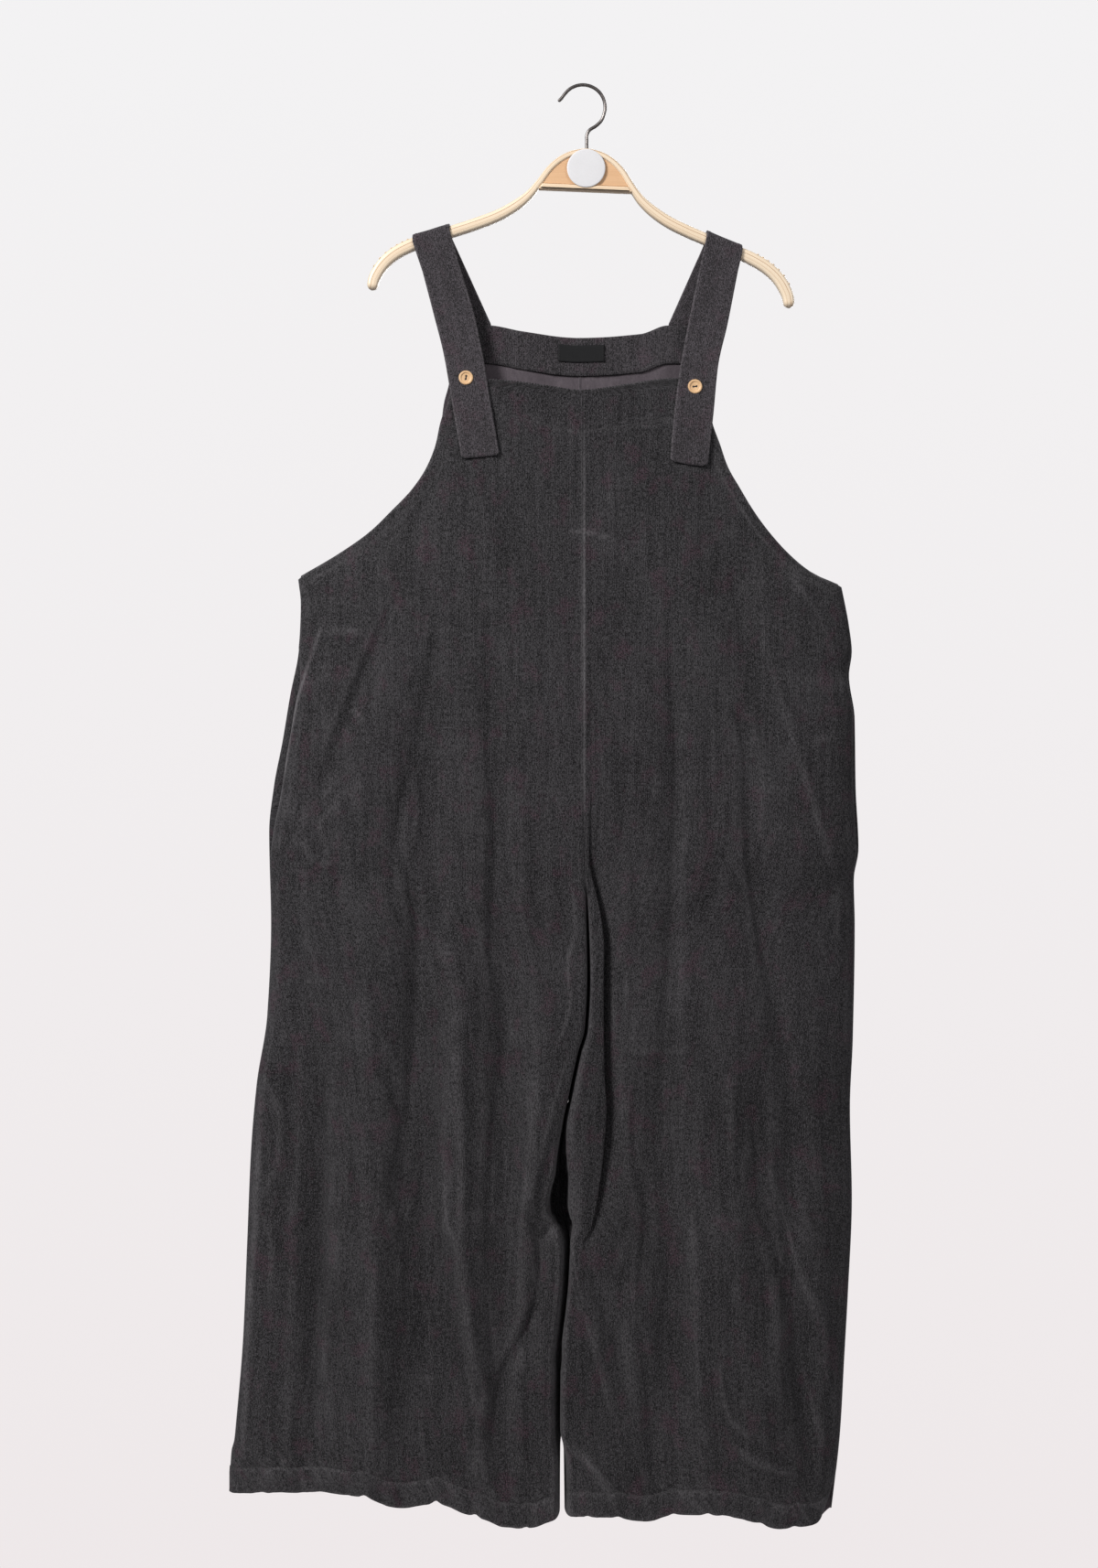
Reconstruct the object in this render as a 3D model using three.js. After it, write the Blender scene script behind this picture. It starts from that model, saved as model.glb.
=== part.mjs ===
// Bib overalls on a hanger: drop-crotch, wide-legged dungarees of fine needlecord.
// Millimetres, +Z up, the front faces -Y. The origin is where the hanger's hook bears on a peg.
import * as THREE from 'three';

// Driving sizes
const CLOTH = 1.4;
const FACING = 1.2;
const STRAP = 2.2;
const LABEL = 1.0;
const BAG = 1.0;
const SEAM_GAP = 0.3;
const HALF_GAP = SEAM_GAP / 2;
// What a piece lying on a curved panel needs beside the gap, as both have flat facets
const LAY_SLACK = 0.15;
const UNDERARM = -522;
const CROTCH = -1170;
const LEG_START = -1186;
const FACING_DEPTH = 39;
const BUTTON_RADIUS = 7.5;
const BUTTON_THICK = 3;
const DISC_RADIUS = 20;
const DISC_THICK = 1;
const DISC_BELOW_TOP = 1.5;
const DISC_SEGMENTS = 20;
const LABEL_WIDTH = 48;
const INFILL_DEPTH = 11;
const ARM_HALF_DEPTH = 7;
const WIRE_RADIUS = 1.8;
const HANGER_TILT = THREE.MathUtils.degToRad(2.45);
const HANGER_TOP = new THREE.Vector3(8.1, 0, -64.9);
const LEFT = -1;
const RIGHT = 1;
const FRONT = -1;
const BACK = 1;

const colours = {
  cord: 0x3b3a3d, strap: 0x4b474c, pocket: 0x333236, label: 0x151516, wood: 0xd9b98c, ply: 0xb98a52,
  sticker: 0xf0efec, steel: 0x6b6b70, button: 0xe3bd8b,
};

function finish(colour, roughness, metalness = 0) {
  return new THREE.MeshStandardMaterial({ color: colour, roughness, metalness });
}

const materials = {
  cord: finish(colours.cord, 0.95),
  strap: finish(colours.strap, 0.95),
  pocket: finish(colours.pocket, 0.95),
  label: finish(colours.label, 0.7),
  wood: finish(colours.wood, 0.5),
  ply: finish(colours.ply, 0.55),
  sticker: finish(colours.sticker, 0.5),
  steel: finish(colours.steel, 0.3, 1),
  button: finish(colours.button, 0.5),
};

// Outline tables: z is the height, x the edge there
const SIDE_BELOW = {
  [LEFT]: [
    { z: -512, x: -293 }, { z: -539, x: -290 }, { z: -587, x: -292 }, { z: -635, x: -301 },
    { z: -683, x: -309 }, { z: -730, x: -318 }, { z: -778, x: -323 }, { z: -874, x: -321 },
    { z: -969, x: -325 }, { z: -1041, x: -336 }, { z: -1112, x: -342 }, { z: -1208, x: -346 },
    { z: -1303, x: -350 }, { z: -1399, x: -358 }, { z: -1470, x: -365 },
  ],
  [RIGHT]: [
    { z: -526, x: 275 }, { z: -563, x: 281 }, { z: -590, x: 284 }, { z: -614, x: 281 },
    { z: -659, x: 287 }, { z: -730, x: 288 }, { z: -795, x: 291 }, { z: -828, x: 286 },
    { z: -874, x: 287 }, { z: -993, x: 285 }, { z: -1065, x: 282 }, { z: -1160, x: 284 },
    { z: -1256, x: 280 }, { z: -1327, x: 276 }, { z: -1399, x: 272 }, { z: -1490, x: 262 },
  ],
};
const ARMHOLE = {
  [LEFT]: [
    { z: -351, x: -144 }, { z: -374, x: -149 }, { z: -397, x: -158 }, { z: -420, x: -173 },
    { z: -443, x: -195 }, { z: -466, x: -219 }, { z: -489, x: -252 },
  ],
  [RIGHT]: [
    { z: -351, x: 138 }, { z: -374, x: 146 }, { z: -397, x: 154 }, { z: -420, x: 167 },
    { z: -443, x: 181 }, { z: -466, x: 198 }, { z: -489, x: 219 }, { z: -508, x: 243 },
  ],
};
const BIB_TOP_SIDE = {
  [FRONT]: {
    [LEFT]: [{ z: -306, x: -128.5 }, { z: -329, x: -136 }],
    [RIGHT]: [{ z: -308, x: 133 }, { z: -329, x: 134.5 }],
  },
  [BACK]: {
    [LEFT]: [{ z: -246, x: -133 }, { z: -306, x: -135.5 }, { z: -329, x: -141 }],
    [RIGHT]: [{ z: -248, x: 134 }, { z: -306, x: 134 }, { z: -329, x: 136 }],
  },
};
const TOP_EDGE = {
  [FRONT]: [
    { x: -128.5, z: -306 }, { x: -77, z: -308 }, { x: -30, z: -314 }, { x: 2, z: -318 },
    { x: 50, z: -312 }, { x: 97, z: -306 }, { x: 133, z: -308 },
  ],
  [BACK]: [
    { x: -133, z: -246 }, { x: -92, z: -248 }, { x: -60, z: -254 }, { x: 0, z: -261 },
    { x: 64, z: -257 }, { x: 93, z: -248 }, { x: 134, z: -248 },
  ],
};
const HEM_EDGE = {
  [LEFT]: [
    { x: -365, z: -1464 }, { x: -278, z: -1458 }, { x: -222, z: -1461 }, { x: -190, z: -1472 },
    { x: -149, z: -1469 }, { x: -115, z: -1480 }, { x: -56, z: -1495 }, { x: -35, z: -1489 },
    { x: -20, z: -1482 },
  ],
  [RIGHT]: [
    { x: -14, z: -1481 }, { x: 35, z: -1483 }, { x: 66, z: -1487 }, { x: 99, z: -1481 },
    { x: 143, z: -1481 }, { x: 177, z: -1488 }, { x: 216, z: -1498 }, { x: 249, z: -1497 },
    { x: 262, z: -1482 },
  ],
};
// The centre seams and the line where the two legs touch
const SEAM = {
  [FRONT]: [
    { z: -261, x: 4.3 }, { z: -754, x: 4.3 }, { z: -800, x: 5.2 }, { z: -864, x: 8 },
    { z: -926, x: 9.5 }, { z: -980, x: 7 }, { z: -1005, x: 0 }, { z: -1047, x: -9 },
    { z: -1081, x: -16 }, { z: -1123, x: -20 }, { z: -1170, x: -20 },
  ],
  [BACK]: [
    { z: -261, x: 1 }, { z: -700, x: 0 }, { z: -900, x: -5 }, { z: -1050, x: -14 }, { z: -1170, x: -20 },
  ],
};
const LEG_GAP = [
  { z: -1170, x: -20 }, { z: -1190, x: -12.5 }, { z: -1212, x: -8 }, { z: -1240, x: -9 },
  { z: -1262, x: -11 }, { z: -1321, x: -17 }, { z: -1400, x: -18 }, { z: -1485, x: -17.7 },
];
const LEG_PARTING = [
  { z: -1170, half: 0.15 }, { z: -1186, half: 1.1 }, { z: -1321, half: 1.2 }, { z: -1400, half: 1.6 },
  { z: -1485, half: 3.2 },
];

// Depth tables: how far each layer stands from the middle plane, and how deep the centre valley is
const DEPTH = [
  { z: -246, front: 8.6, back: 9.0, valley_front: 0, valley_back: 0 },
  { z: -318, front: 10.5, back: 10.5, valley_front: 0, valley_back: 0 },
  { z: -400, front: 15, back: 14, valley_front: 0, valley_back: 0 },
  { z: -522, front: 25, back: 22, valley_front: 0, valley_back: 0 },
  { z: -640, front: 33, back: 29, valley_front: 0, valley_back: 0.02 },
  { z: -754, front: 36, back: 33, valley_front: 0.02, valley_back: 0.06 },
  { z: -864, front: 38, back: 35, valley_front: 0.2, valley_back: 0.14 },
  { z: -1005, front: 39, back: 36, valley_front: 0.5, valley_back: 0.34 },
  { z: -1081, front: 39, back: 36, valley_front: 0.68, valley_back: 0.55 },
  { z: -1123, front: 39, back: 36, valley_front: 0.84, valley_back: 0.76 },
  { z: -1170, front: 39, back: 36, valley_front: 1, valley_back: 1 },
  { z: -1300, front: 40, back: 37, valley_front: 1, valley_back: 1 },
  { z: -1500, front: 38, back: 36, valley_front: 1, valley_back: 1 },
];
// How far a free edge stands off the middle plane: armholes above the underarm, pocket mouths below
const FREE_EDGE = {
  [LEFT]: [
    { z: -246, off: 8.6 }, { z: -400, off: 9 }, { z: -450, off: 7 }, { z: -490, off: 3.5 },
    { z: -512, off: 0.15 }, { z: -560, off: 0.15 }, { z: -590, off: 8 }, { z: -620, off: 9.5 },
    { z: -745, off: 9.5 }, { z: -785, off: 4 }, { z: -805, off: 0.15 }, { z: -1500, off: 0.15 },
  ],
  [RIGHT]: [
    { z: -246, off: 8.6 }, { z: -400, off: 9 }, { z: -460, off: 7 }, { z: -500, off: 3.5 },
    { z: -526, off: 0.15 }, { z: -598, off: 0.15 }, { z: -628, off: 8 }, { z: -655, off: 9.5 },
    { z: -778, off: 9.5 }, { z: -815, off: 4 }, { z: -835, off: 0.15 }, { z: -1500, off: 0.15 },
  ],
};
// How far the front's pocket mouth lies inside the outline
const MOUTH_INSET = {
  [LEFT]: [
    { z: -545, inset: 0 }, { z: -574, inset: 19 }, { z: -600, inset: 15 }, { z: -635, inset: 9 },
    { z: -725, inset: 10.5 }, { z: -770, inset: 6.5 }, { z: -800, inset: 0 },
  ],
  [RIGHT]: [
    { z: -590, inset: 0 }, { z: -614, inset: 2 }, { z: -780, inset: 4 }, { z: -830, inset: 0 },
  ],
};
// The overlapping fold right of the centre: its edge, and the drop of the cloth beyond it
const CROTCH_FOLD = [
  { z: -754, x: 10, drop: 0 }, { z: -800, x: 12, drop: 5 }, { z: -829, x: 15, drop: 9 },
  { z: -862, x: 21, drop: 12 }, { z: -968, x: 25, drop: 16 }, { z: -1061, x: 28, drop: 15 },
  { z: -1117, x: 24, drop: 11 }, { z: -1170, x: 14, drop: 6 }, { z: -1205, x: 9, drop: 0 },
];
const FOLD_EDGE_HALF = 2.5;
const FOLD_FALLOFF = 40;
// Where the fold's drop is this deep or more, the columns beside it follow its edge in full
const FOLD_SHARP_DROP = 5;
const VALLEY_WIDTH = { [FRONT]: 9, [BACK]: 19.8 };
const LEG_ROUND = 28;
// The bib's flatter section turns into the body's fuller one between these heights
const BIB_BLEND = { low: UNDERARM - 30, high: UNDERARM + 90 };
// Folds die away within this distance of a panel's edges
const FOLD_FREE_EDGE = 30;
// Within this distance of the centre seam both skins stay clear of the middle plane
const SEAM_BAND = 2;
// Below this height the back runs flat to the side seam
const BACK_FLAT_BELOW = UNDERARM - 10;
// Below this height the side edges of front and back face each other
const SIDE_SEAM_BELOW = UNDERARM + 11;

// Largest folds: a row for each, from (x1, z1) by (x2, z2) to (x3, z3); height is proud, or a trough below 0
const FOLDS = {
  [FRONT]: [
    { x1: -160, z1: -430, x2: -212, z2: -600, x3: -272, z3: -744, width: 16, height: -4 },
    { x1: -150, z1: -660, x2: -166, z2: -900, x3: -157, z3: -1250, width: 22, height: -10.5 },
    { x1: -92, z1: -650, x2: -78, z2: -1000, x3: -82, z3: -1350, width: 15, height: -8 },
    { x1: -215, z1: -900, x2: -216, z2: -1150, x3: -222, z3: -1440, width: 26, height: 8 },
    { x1: -128, z1: -960, x2: -121, z2: -1200, x3: -104, z3: -1440, width: 15, height: 6.5 },
    { x1: -275, z1: -1000, x2: -276, z2: -1200, x3: -282, z3: -1440, width: 22, height: -8 },
    { x1: -48, z1: -1060, x2: -54, z2: -1180, x3: -60, z3: -1300, width: 11, height: 5 },
    { x1: 96, z1: -580, x2: 92, z2: -850, x3: 90, z3: -1090, width: 12, height: -6.5 },
    { x1: 80, z1: -1060, x2: 88, z2: -1240, x3: 78, z3: -1430, width: 26, height: -11.5 },
    { x1: 168, z1: -670, x2: 190, z2: -900, x3: 224, z3: -1100, width: 13, height: -6.5 },
    { x1: 140, z1: -930, x2: 160, z2: -1150, x3: 178, z3: -1400, width: 24, height: 6.5 },
    { x1: 215, z1: -1130, x2: 222, z2: -1250, x3: 240, z3: -1420, width: 14, height: -6.5 },
    { x1: 150, z1: -500, x2: 178, z2: -590, x3: 200, z3: -700, width: 16, height: -4 },
  ],
  [BACK]: [
    { x1: -150, z1: -460, x2: -185, z2: -620, x3: -215, z3: -780, width: 18, height: -4 },
    { x1: -110, z1: -640, x2: -122, z2: -900, x3: -128, z3: -1300, width: 20, height: -9 },
    { x1: -205, z1: -860, x2: -212, z2: -1100, x3: -222, z3: -1400, width: 24, height: -8 },
    { x1: -165, z1: -900, x2: -168, z2: -1150, x3: -172, z3: -1440, width: 22, height: 6.5 },
    { x1: -280, z1: -900, x2: -285, z2: -1150, x3: -295, z3: -1440, width: 22, height: 6.5 },
    { x1: 118, z1: -600, x2: 124, z2: -900, x3: 128, z3: -1250, width: 18, height: -9 },
    { x1: 205, z1: -800, x2: 210, z2: -1050, x3: 218, z3: -1400, width: 20, height: -8 },
    { x1: 60, z1: -1000, x2: 66, z2: -1200, x3: 62, z3: -1430, width: 22, height: -8 },
    { x1: 162, z1: -900, x2: 168, z2: -1150, x3: 175, z3: -1440, width: 22, height: 6.5 },
    { x1: 150, z1: -480, x2: 182, z2: -620, x3: 205, z3: -760, width: 18, height: -4 },
  ],
};

// A fold fades over this share of its length past each end, with this power
const FOLD_FADE = 0.15;
const FOLD_FADE_POWER = 0.6;

// Rows of each panel: the height at the centre and at each side
const BIB_ROWS = {
  [FRONT]: [
    { centre: -318, left: -306, right: -308 }, { centre: -345, left: -329, right: -333 },
    { centre: -372, left: -351, right: -360 }, { centre: -398, left: -374, right: -386 },
    { centre: -424, left: -399, right: -411 }, { centre: -448, left: -424, right: -436 },
    { centre: -470, left: -449, right: -460 }, { centre: -490, left: -473, right: -485 },
    { centre: -508, left: -494, right: -507 }, { centre: -522, left: -512, right: -526 },
  ],
  [BACK]: [
    { centre: -261, left: -246, right: -248 }, { centre: -300, left: -285, right: -287 },
    { centre: -322, left: -308, right: -311 }, { centre: -350, left: -333, right: -338 },
    { centre: -378, left: -358, right: -364 }, { centre: -404, left: -382, right: -391 },
    { centre: -428, left: -406, right: -416 }, { centre: -452, left: -430, right: -440 },
    { centre: -474, left: -453, right: -464 }, { centre: -493, left: -475, right: -487 },
    { centre: -509, left: -495, right: -508 }, { centre: -522, left: -512, right: -526 },
  ],
};
const BODY_ROWS = [
  -545, -574, -600, -640, -685, -730, -772, -805, -835, -870, -912, -960, -1005, -1047, -1085, -1120, -1150,
  CROTCH, LEG_START, -1212, -1250, -1300, -1350, -1400, -1444, -1484,
];
// Rows that take up the curve of the top edge and of the hem
const TOP_ROWS = 3;
const HEM_ROWS = 3;
const COLUMNS = [0, 0.03, 0.07, 0.13, 0.21, 0.3, 0.4, 0.5, 0.6, 0.7, 0.79, 0.87, 0.93, 0.975, 1];
const FOLD_COLUMN = 3;
// Small steps across and down a panel, for its normals
const COLUMN_STEP = 0.004;
const ROW_STEP = 0.05;

function lookup(table, key, column, at) {
  const rising = table[table.length - 1][key] > table[0][key];
  const before = (row) => (rising ? row[key] > at : row[key] < at);
  const next = table.findIndex(before);
  if (next === 0) return table[0][column];
  if (next < 0) return table[table.length - 1][column];
  const [low, high] = [table[next - 1], table[next]];
  const share = (at - low[key]) / (high[key] - low[key]);
  return THREE.MathUtils.lerp(low[column], high[column], share);
}

const sideTables = {};
for (const face of [FRONT, BACK]) {
  sideTables[face] = {};
  for (const side of [LEFT, RIGHT]) {
    sideTables[face][side] = [...BIB_TOP_SIDE[face][side], ...ARMHOLE[side], ...SIDE_BELOW[side]];
  }
}

function outlineX(side, face, z) {
  return lookup(sideTables[face][side], 'z', 'x', z);
}

// The panel's outer edge: the outline, or the pocket mouth on the front
function outerX(side, face, z) {
  const inset = face === FRONT ? lookup(MOUTH_INSET[side], 'z', 'inset', z) : 0;
  return outlineX(side, face, z) - side * inset;
}

// The panel's inner edge: the centre seam, or the inside of the leg
function innerX(side, face, z) {
  if (z >= CROTCH) return lookup(SEAM[face], 'z', 'x', z) + side * HALF_GAP;
  const half = lookup(LEG_PARTING, 'z', 'half', z);
  return lookup(LEG_GAP, 'z', 'x', z) + side * half;
}

function freeEdge(side, face, z) {
  if (face === BACK && z < BACK_FLAT_BELOW) return HALF_GAP;
  return lookup(FREE_EDGE[side], 'z', 'off', z);
}

function foldRelief(fold, x, z) {
  const top = Math.max(fold.z1, fold.z3);
  const bottom = Math.min(fold.z1, fold.z3);
  const along = (z - top) / (bottom - top);
  if (along < -FOLD_FADE || along > 1 + FOLD_FADE) return 0;
  const t = THREE.MathUtils.clamp(along, 0, 1);
  const middle = 4 * (fold.x2 - (fold.x1 + fold.x3) / 2) * t * (1 - t);
  const line = THREE.MathUtils.lerp(fold.x1, fold.x3, t) + middle;
  const faded = THREE.MathUtils.clamp((along + FOLD_FADE) / (1 + 2 * FOLD_FADE), 0, 1);
  const taper = Math.sin(Math.PI * faded) ** FOLD_FADE_POWER;
  return fold.height * taper * Math.exp(-(((x - line) / fold.width) ** 2));
}

function reliefAt(face, x, z) {
  let sum = 0;
  for (const fold of FOLDS[face]) sum += foldRelief(fold, x, z);
  return sum;
}

function smooth(a, b, at) {
  return THREE.MathUtils.smoothstep(at, a, b);
}

// How far a panel's middle surface stands from the middle plane at (x, z)
function standOff(side, face, x, z) {
  const inner = innerX(side, face, z);
  const outer = outerX(side, face, z);
  const u = THREE.MathUtils.clamp((x - inner) / (outer - inner), 0, 1);
  const full = lookup(DEPTH, 'z', face === FRONT ? 'front' : 'back', z);
  const edge = freeEdge(side, face, z);
  const legShare = smooth(-CROTCH, -LEG_START, -z);
  const inBib = smooth(BIB_BLEND.low, BIB_BLEND.high, z);
  const torsoShape = (1 - u ** 4) ** THREE.MathUtils.lerp(0.5, 1, inBib);
  const fromInner = Math.abs(x - inner);
  const legTurn = Math.sqrt(1 - (1 - Math.min(1, fromInner / LEG_ROUND)) ** 2);
  const shape = torsoShape * THREE.MathUtils.lerp(1, legTurn, legShare);
  const fromOuter = Math.abs(outer - x);
  const flatEdge = smooth(0, FOLD_FREE_EDGE, fromInner) * smooth(0, FOLD_FREE_EDGE, fromOuter);
  let off = edge + (full - edge) * shape + reliefAt(face, x, z) * flatEdge;
  if (legShare < 1) {
    const share = lookup(DEPTH, 'z', face === FRONT ? 'valley_front' : 'valley_back', z);
    off -= (1 - legShare) * share * full * Math.exp(-((fromInner / VALLEY_WIDTH[face]) ** 2));
  }
  if (crossesFold(side, face, z)) {
    const edgeX = lookup(CROTCH_FOLD, 'z', 'x', z);
    const drop = lookup(CROTCH_FOLD, 'z', 'drop', z);
    const beyond = x - edgeX;
    const step = smooth(-FOLD_EDGE_HALF, FOLD_EDGE_HALF, beyond);
    off -= drop * step * Math.exp(-Math.max(0, beyond) / FOLD_FALLOFF);
  }
  const besideSeam = z >= CROTCH && fromInner < SEAM_BAND;
  return Math.max(off, HALF_GAP + (besideSeam ? CLOTH / 2 : 0));
}

// Whether a panel has the overlapping fold at this height
function crossesFold(side, face, z) {
  return face === FRONT && side === RIGHT && z < CROTCH_FOLD[0].z && z > CROTCH_FOLD.at(-1).z;
}

const BODY = BODY_ROWS.map((z) => ({ centre: z, left: z, right: z }));
const PANEL_ROWS = {
  [FRONT]: [...BIB_ROWS[FRONT], ...BODY],
  [BACK]: [...BIB_ROWS[BACK], ...BODY],
};

// A point of a panel's middle surface; u runs from the centre (0) to the side (1), v counts rows
function panelPoint(side, face, u, v) {
  const rows = PANEL_ROWS[face];
  const last = rows.length - 1;
  const low = Math.min(Math.floor(v), last - 1);
  const sideKey = side === LEFT ? 'left' : 'right';
  const rowHeight = (row) => THREE.MathUtils.lerp(row.centre, row[sideKey], u);
  let z = THREE.MathUtils.lerp(rowHeight(rows[low]), rowHeight(rows[low + 1]), v - low);
  const across = (height) => {
    const inner = innerX(side, face, height);
    return THREE.MathUtils.lerp(inner, outerX(side, face, height), u);
  };
  const topFade = THREE.MathUtils.clamp(1 - v / TOP_ROWS, 0, 1);
  if (topFade > 0) z += topFade * (lookup(TOP_EDGE[face], 'x', 'z', across(z)) - rowHeight(rows[0]));
  const hemFade = THREE.MathUtils.clamp((v - (last - HEM_ROWS)) / HEM_ROWS, 0, 1);
  if (hemFade > 0) z += hemFade * (lookup(HEM_EDGE[side], 'x', 'z', across(z)) - rowHeight(rows[last]));
  let x = across(z);
  if (crossesFold(side, face, z)) x = alignToFold(x, z, u, side, face);
  return new THREE.Vector3(x, face * standOff(side, face, x, z), z);
}

// Columns beside the overlapping fold follow its edge, so that the step stays sharp
function alignToFold(x, z, u, side, face) {
  const edgeX = lookup(CROTCH_FOLD, 'z', 'x', z);
  const inner = innerX(side, face, z);
  const outer = outerX(side, face, z);
  const before = COLUMNS[FOLD_COLUMN - 1];
  const after = COLUMNS[FOLD_COLUMN];
  const share = Math.min(1, lookup(CROTCH_FOLD, 'z', 'drop', z) / FOLD_SHARP_DROP);
  let aligned;
  if (u <= before) {
    aligned = THREE.MathUtils.lerp(inner, edgeX - FOLD_EDGE_HALF, u / before);
  } else if (u <= after) {
    aligned = edgeX + FOLD_EDGE_HALF * THREE.MathUtils.mapLinear(u, before, after, -1, 1);
  } else {
    aligned = THREE.MathUtils.lerp(edgeX + FOLD_EDGE_HALF, outer, (u - after) / (1 - after));
  }
  return THREE.MathUtils.lerp(x, aligned, share);
}

function panelNormal(side, face, u, v, lastRow) {
  const { z } = panelPoint(side, face, u, v);
  if (u === 1 && z < SIDE_SEAM_BELOW) return new THREE.Vector3(side, 0, 0);
  if (u === 0) return z < CROTCH - 1 ? new THREE.Vector3(-side, 0, 0) : new THREE.Vector3(0, face, 0);
  const across = panelPoint(side, face, Math.min(1, u + COLUMN_STEP), v);
  across.sub(panelPoint(side, face, Math.max(0, u - COLUMN_STEP), v));
  const down = panelPoint(side, face, u, Math.min(lastRow, v + ROW_STEP));
  down.sub(panelPoint(side, face, u, Math.max(0, v - ROW_STEP)));
  return new THREE.Vector3().crossVectors(across, down).multiplyScalar(side * face).normalize();
}

// A closed wall between two skins of points, outer and inner, each a list of rows
function wallGeometry(outer, inner) {
  const rows = outer.length;
  const columns = outer[0].length;
  const positions = [];
  for (const skin of [outer, inner]) {
    for (const row of skin) for (const point of row) positions.push(point.x, point.y, point.z);
  }
  const indices = [];
  const outerAt = (r, c) => r * columns + c;
  const innerAt = (r, c) => rows * columns + r * columns + c;
  const quad = (a, b, c, d) => indices.push(a, b, c, a, c, d);
  for (let r = 0; r < rows - 1; r += 1) {
    for (let c = 0; c < columns - 1; c += 1) {
      quad(outerAt(r, c), outerAt(r + 1, c), outerAt(r + 1, c + 1), outerAt(r, c + 1));
      quad(innerAt(r, c), innerAt(r, c + 1), innerAt(r + 1, c + 1), innerAt(r + 1, c));
    }
  }
  const [lastRow, lastColumn] = [rows - 1, columns - 1];
  for (let c = 0; c < lastColumn; c += 1) {
    quad(outerAt(0, c), outerAt(0, c + 1), innerAt(0, c + 1), innerAt(0, c));
    quad(outerAt(lastRow, c + 1), outerAt(lastRow, c), innerAt(lastRow, c), innerAt(lastRow, c + 1));
  }
  for (let r = 0; r < lastRow; r += 1) {
    quad(outerAt(r + 1, 0), outerAt(r, 0), innerAt(r, 0), innerAt(r + 1, 0));
    const [upper, lower] = [innerAt(r, lastColumn), innerAt(r + 1, lastColumn)];
    quad(outerAt(r, lastColumn), outerAt(r + 1, lastColumn), lower, upper);
  }
  return outward(positions, indices);
}

// Turns all faces round if the solid they close has its inside out
function outward(positions, indices) {
  let volume = 0;
  const corner = (i) => new THREE.Vector3().fromArray(positions, 3 * i);
  for (let i = 0; i < indices.length; i += 3) {
    const [a, b, c] = [corner(indices[i]), corner(indices[i + 1]), corner(indices[i + 2])];
    volume += a.dot(b.cross(c));
  }
  if (volume < 0) {
    for (let i = 0; i < indices.length; i += 3) {
      [indices[i + 1], indices[i + 2]] = [indices[i + 2], indices[i + 1]];
    }
  }
  const geometry = new THREE.BufferGeometry();
  geometry.setAttribute('position', new THREE.Float32BufferAttribute(positions, 3));
  geometry.setIndex(indices);
  geometry.computeVertexNormals();
  return geometry;
}

// Both skins of a sheet whose middle points and normals are given
function thicken(points, normals, thickness) {
  const skin = (sign) => points.map((row, r) => row.map((point, c) => {
    return point.clone().addScaledVector(normals[r][c], sign * thickness / 2);
  }));
  return wallGeometry(skin(1), skin(-1));
}

// Normals of a sheet taken from its own neighbouring points
function gridNormals(points) {
  const rows = points.length;
  const columns = points[0].length;
  return points.map((row, r) => row.map((_, c) => {
    const across = points[r][Math.min(columns - 1, c + 1)].clone().sub(points[r][Math.max(0, c - 1)]);
    const down = points[Math.min(rows - 1, r + 1)][c].clone().sub(points[Math.max(0, r - 1)][c]);
    return across.cross(down).normalize();
  }));
}

function panel(side, face) {
  const lastRow = PANEL_ROWS[face].length - 1;
  const points = [];
  const normals = [];
  for (let v = 0; v <= lastRow; v += 1) {
    points.push(COLUMNS.map((u) => panelPoint(side, face, u, v)));
    normals.push(COLUMNS.map((u) => panelNormal(side, face, u, v, lastRow)));
  }
  const skin = (sign) => points.map((row, r) => row.map((point, c) => {
    return insidePanel(point.clone().addScaledVector(normals[r][c], sign * CLOTH / 2), side, face);
  }));
  return wallGeometry(skin(1), skin(-1));
}

// Keeps a skin point on its own side of the seams, half a seam gap away
function insidePanel(point, side, face) {
  point.y = face * Math.max(face * point.y, HALF_GAP);
  const parting = lookup(point.z >= CROTCH ? SEAM[face] : LEG_GAP, 'z', 'x', point.z);
  point.x = parting + side * Math.max(side * (point.x - parting), HALF_GAP);
  return point;
}

const FACING_EDGE = { left: -131, right: 132, below_top: 0.5 };
const FACING_SPANS = 20;
const LABEL_SPANS = 4;
// Rows of the facing and the label, as shares of the facing's depth
const FACING_ROWS = [0, 0.33, 0.67, 1];
const LABEL_AT = { x: 2.3, rows: [0.2, 0.42, 0.64] };

// A point inside the back's top edge: down is its share of the facing's depth, inward its distance in
function facingPoint(x, down, inward) {
  const z = lookup(TOP_EDGE[BACK], 'x', 'z', x) - FACING_EDGE.below_top - down * FACING_DEPTH;
  const side = x < lookup(SEAM[BACK], 'z', 'x', z) ? LEFT : RIGHT;
  return new THREE.Vector3(x, standOff(side, BACK, x, z) - inward, z);
}

// A patch of cloth inside the back's top edge, between two x and over shares of the facing's depth
function patch(left, right, spans, rows, inward, thickness) {
  const points = rows.map((down) => {
    const row = [];
    for (let i = 0; i <= spans; i += 1) {
      row.push(facingPoint(THREE.MathUtils.lerp(left, right, i / spans), down, inward));
    }
    return row;
  });
  return thicken(points, gridNormals(points), thickness);
}

function backNeckFacing() {
  const inward = CLOTH / 2 + SEAM_GAP + FACING / 2 + LAY_SLACK;
  return patch(FACING_EDGE.left, FACING_EDGE.right, FACING_SPANS, FACING_ROWS, inward, FACING);
}

function neckLabel() {
  const inward = CLOTH / 2 + 2 * SEAM_GAP + FACING + LABEL / 2 + 2 * LAY_SLACK;
  const [left, right] = [LABEL_AT.x - LABEL_WIDTH / 2, LABEL_AT.x + LABEL_WIDTH / 2];
  return patch(left, right, LABEL_SPANS, LABEL_AT.rows, inward, LABEL);
}

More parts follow.
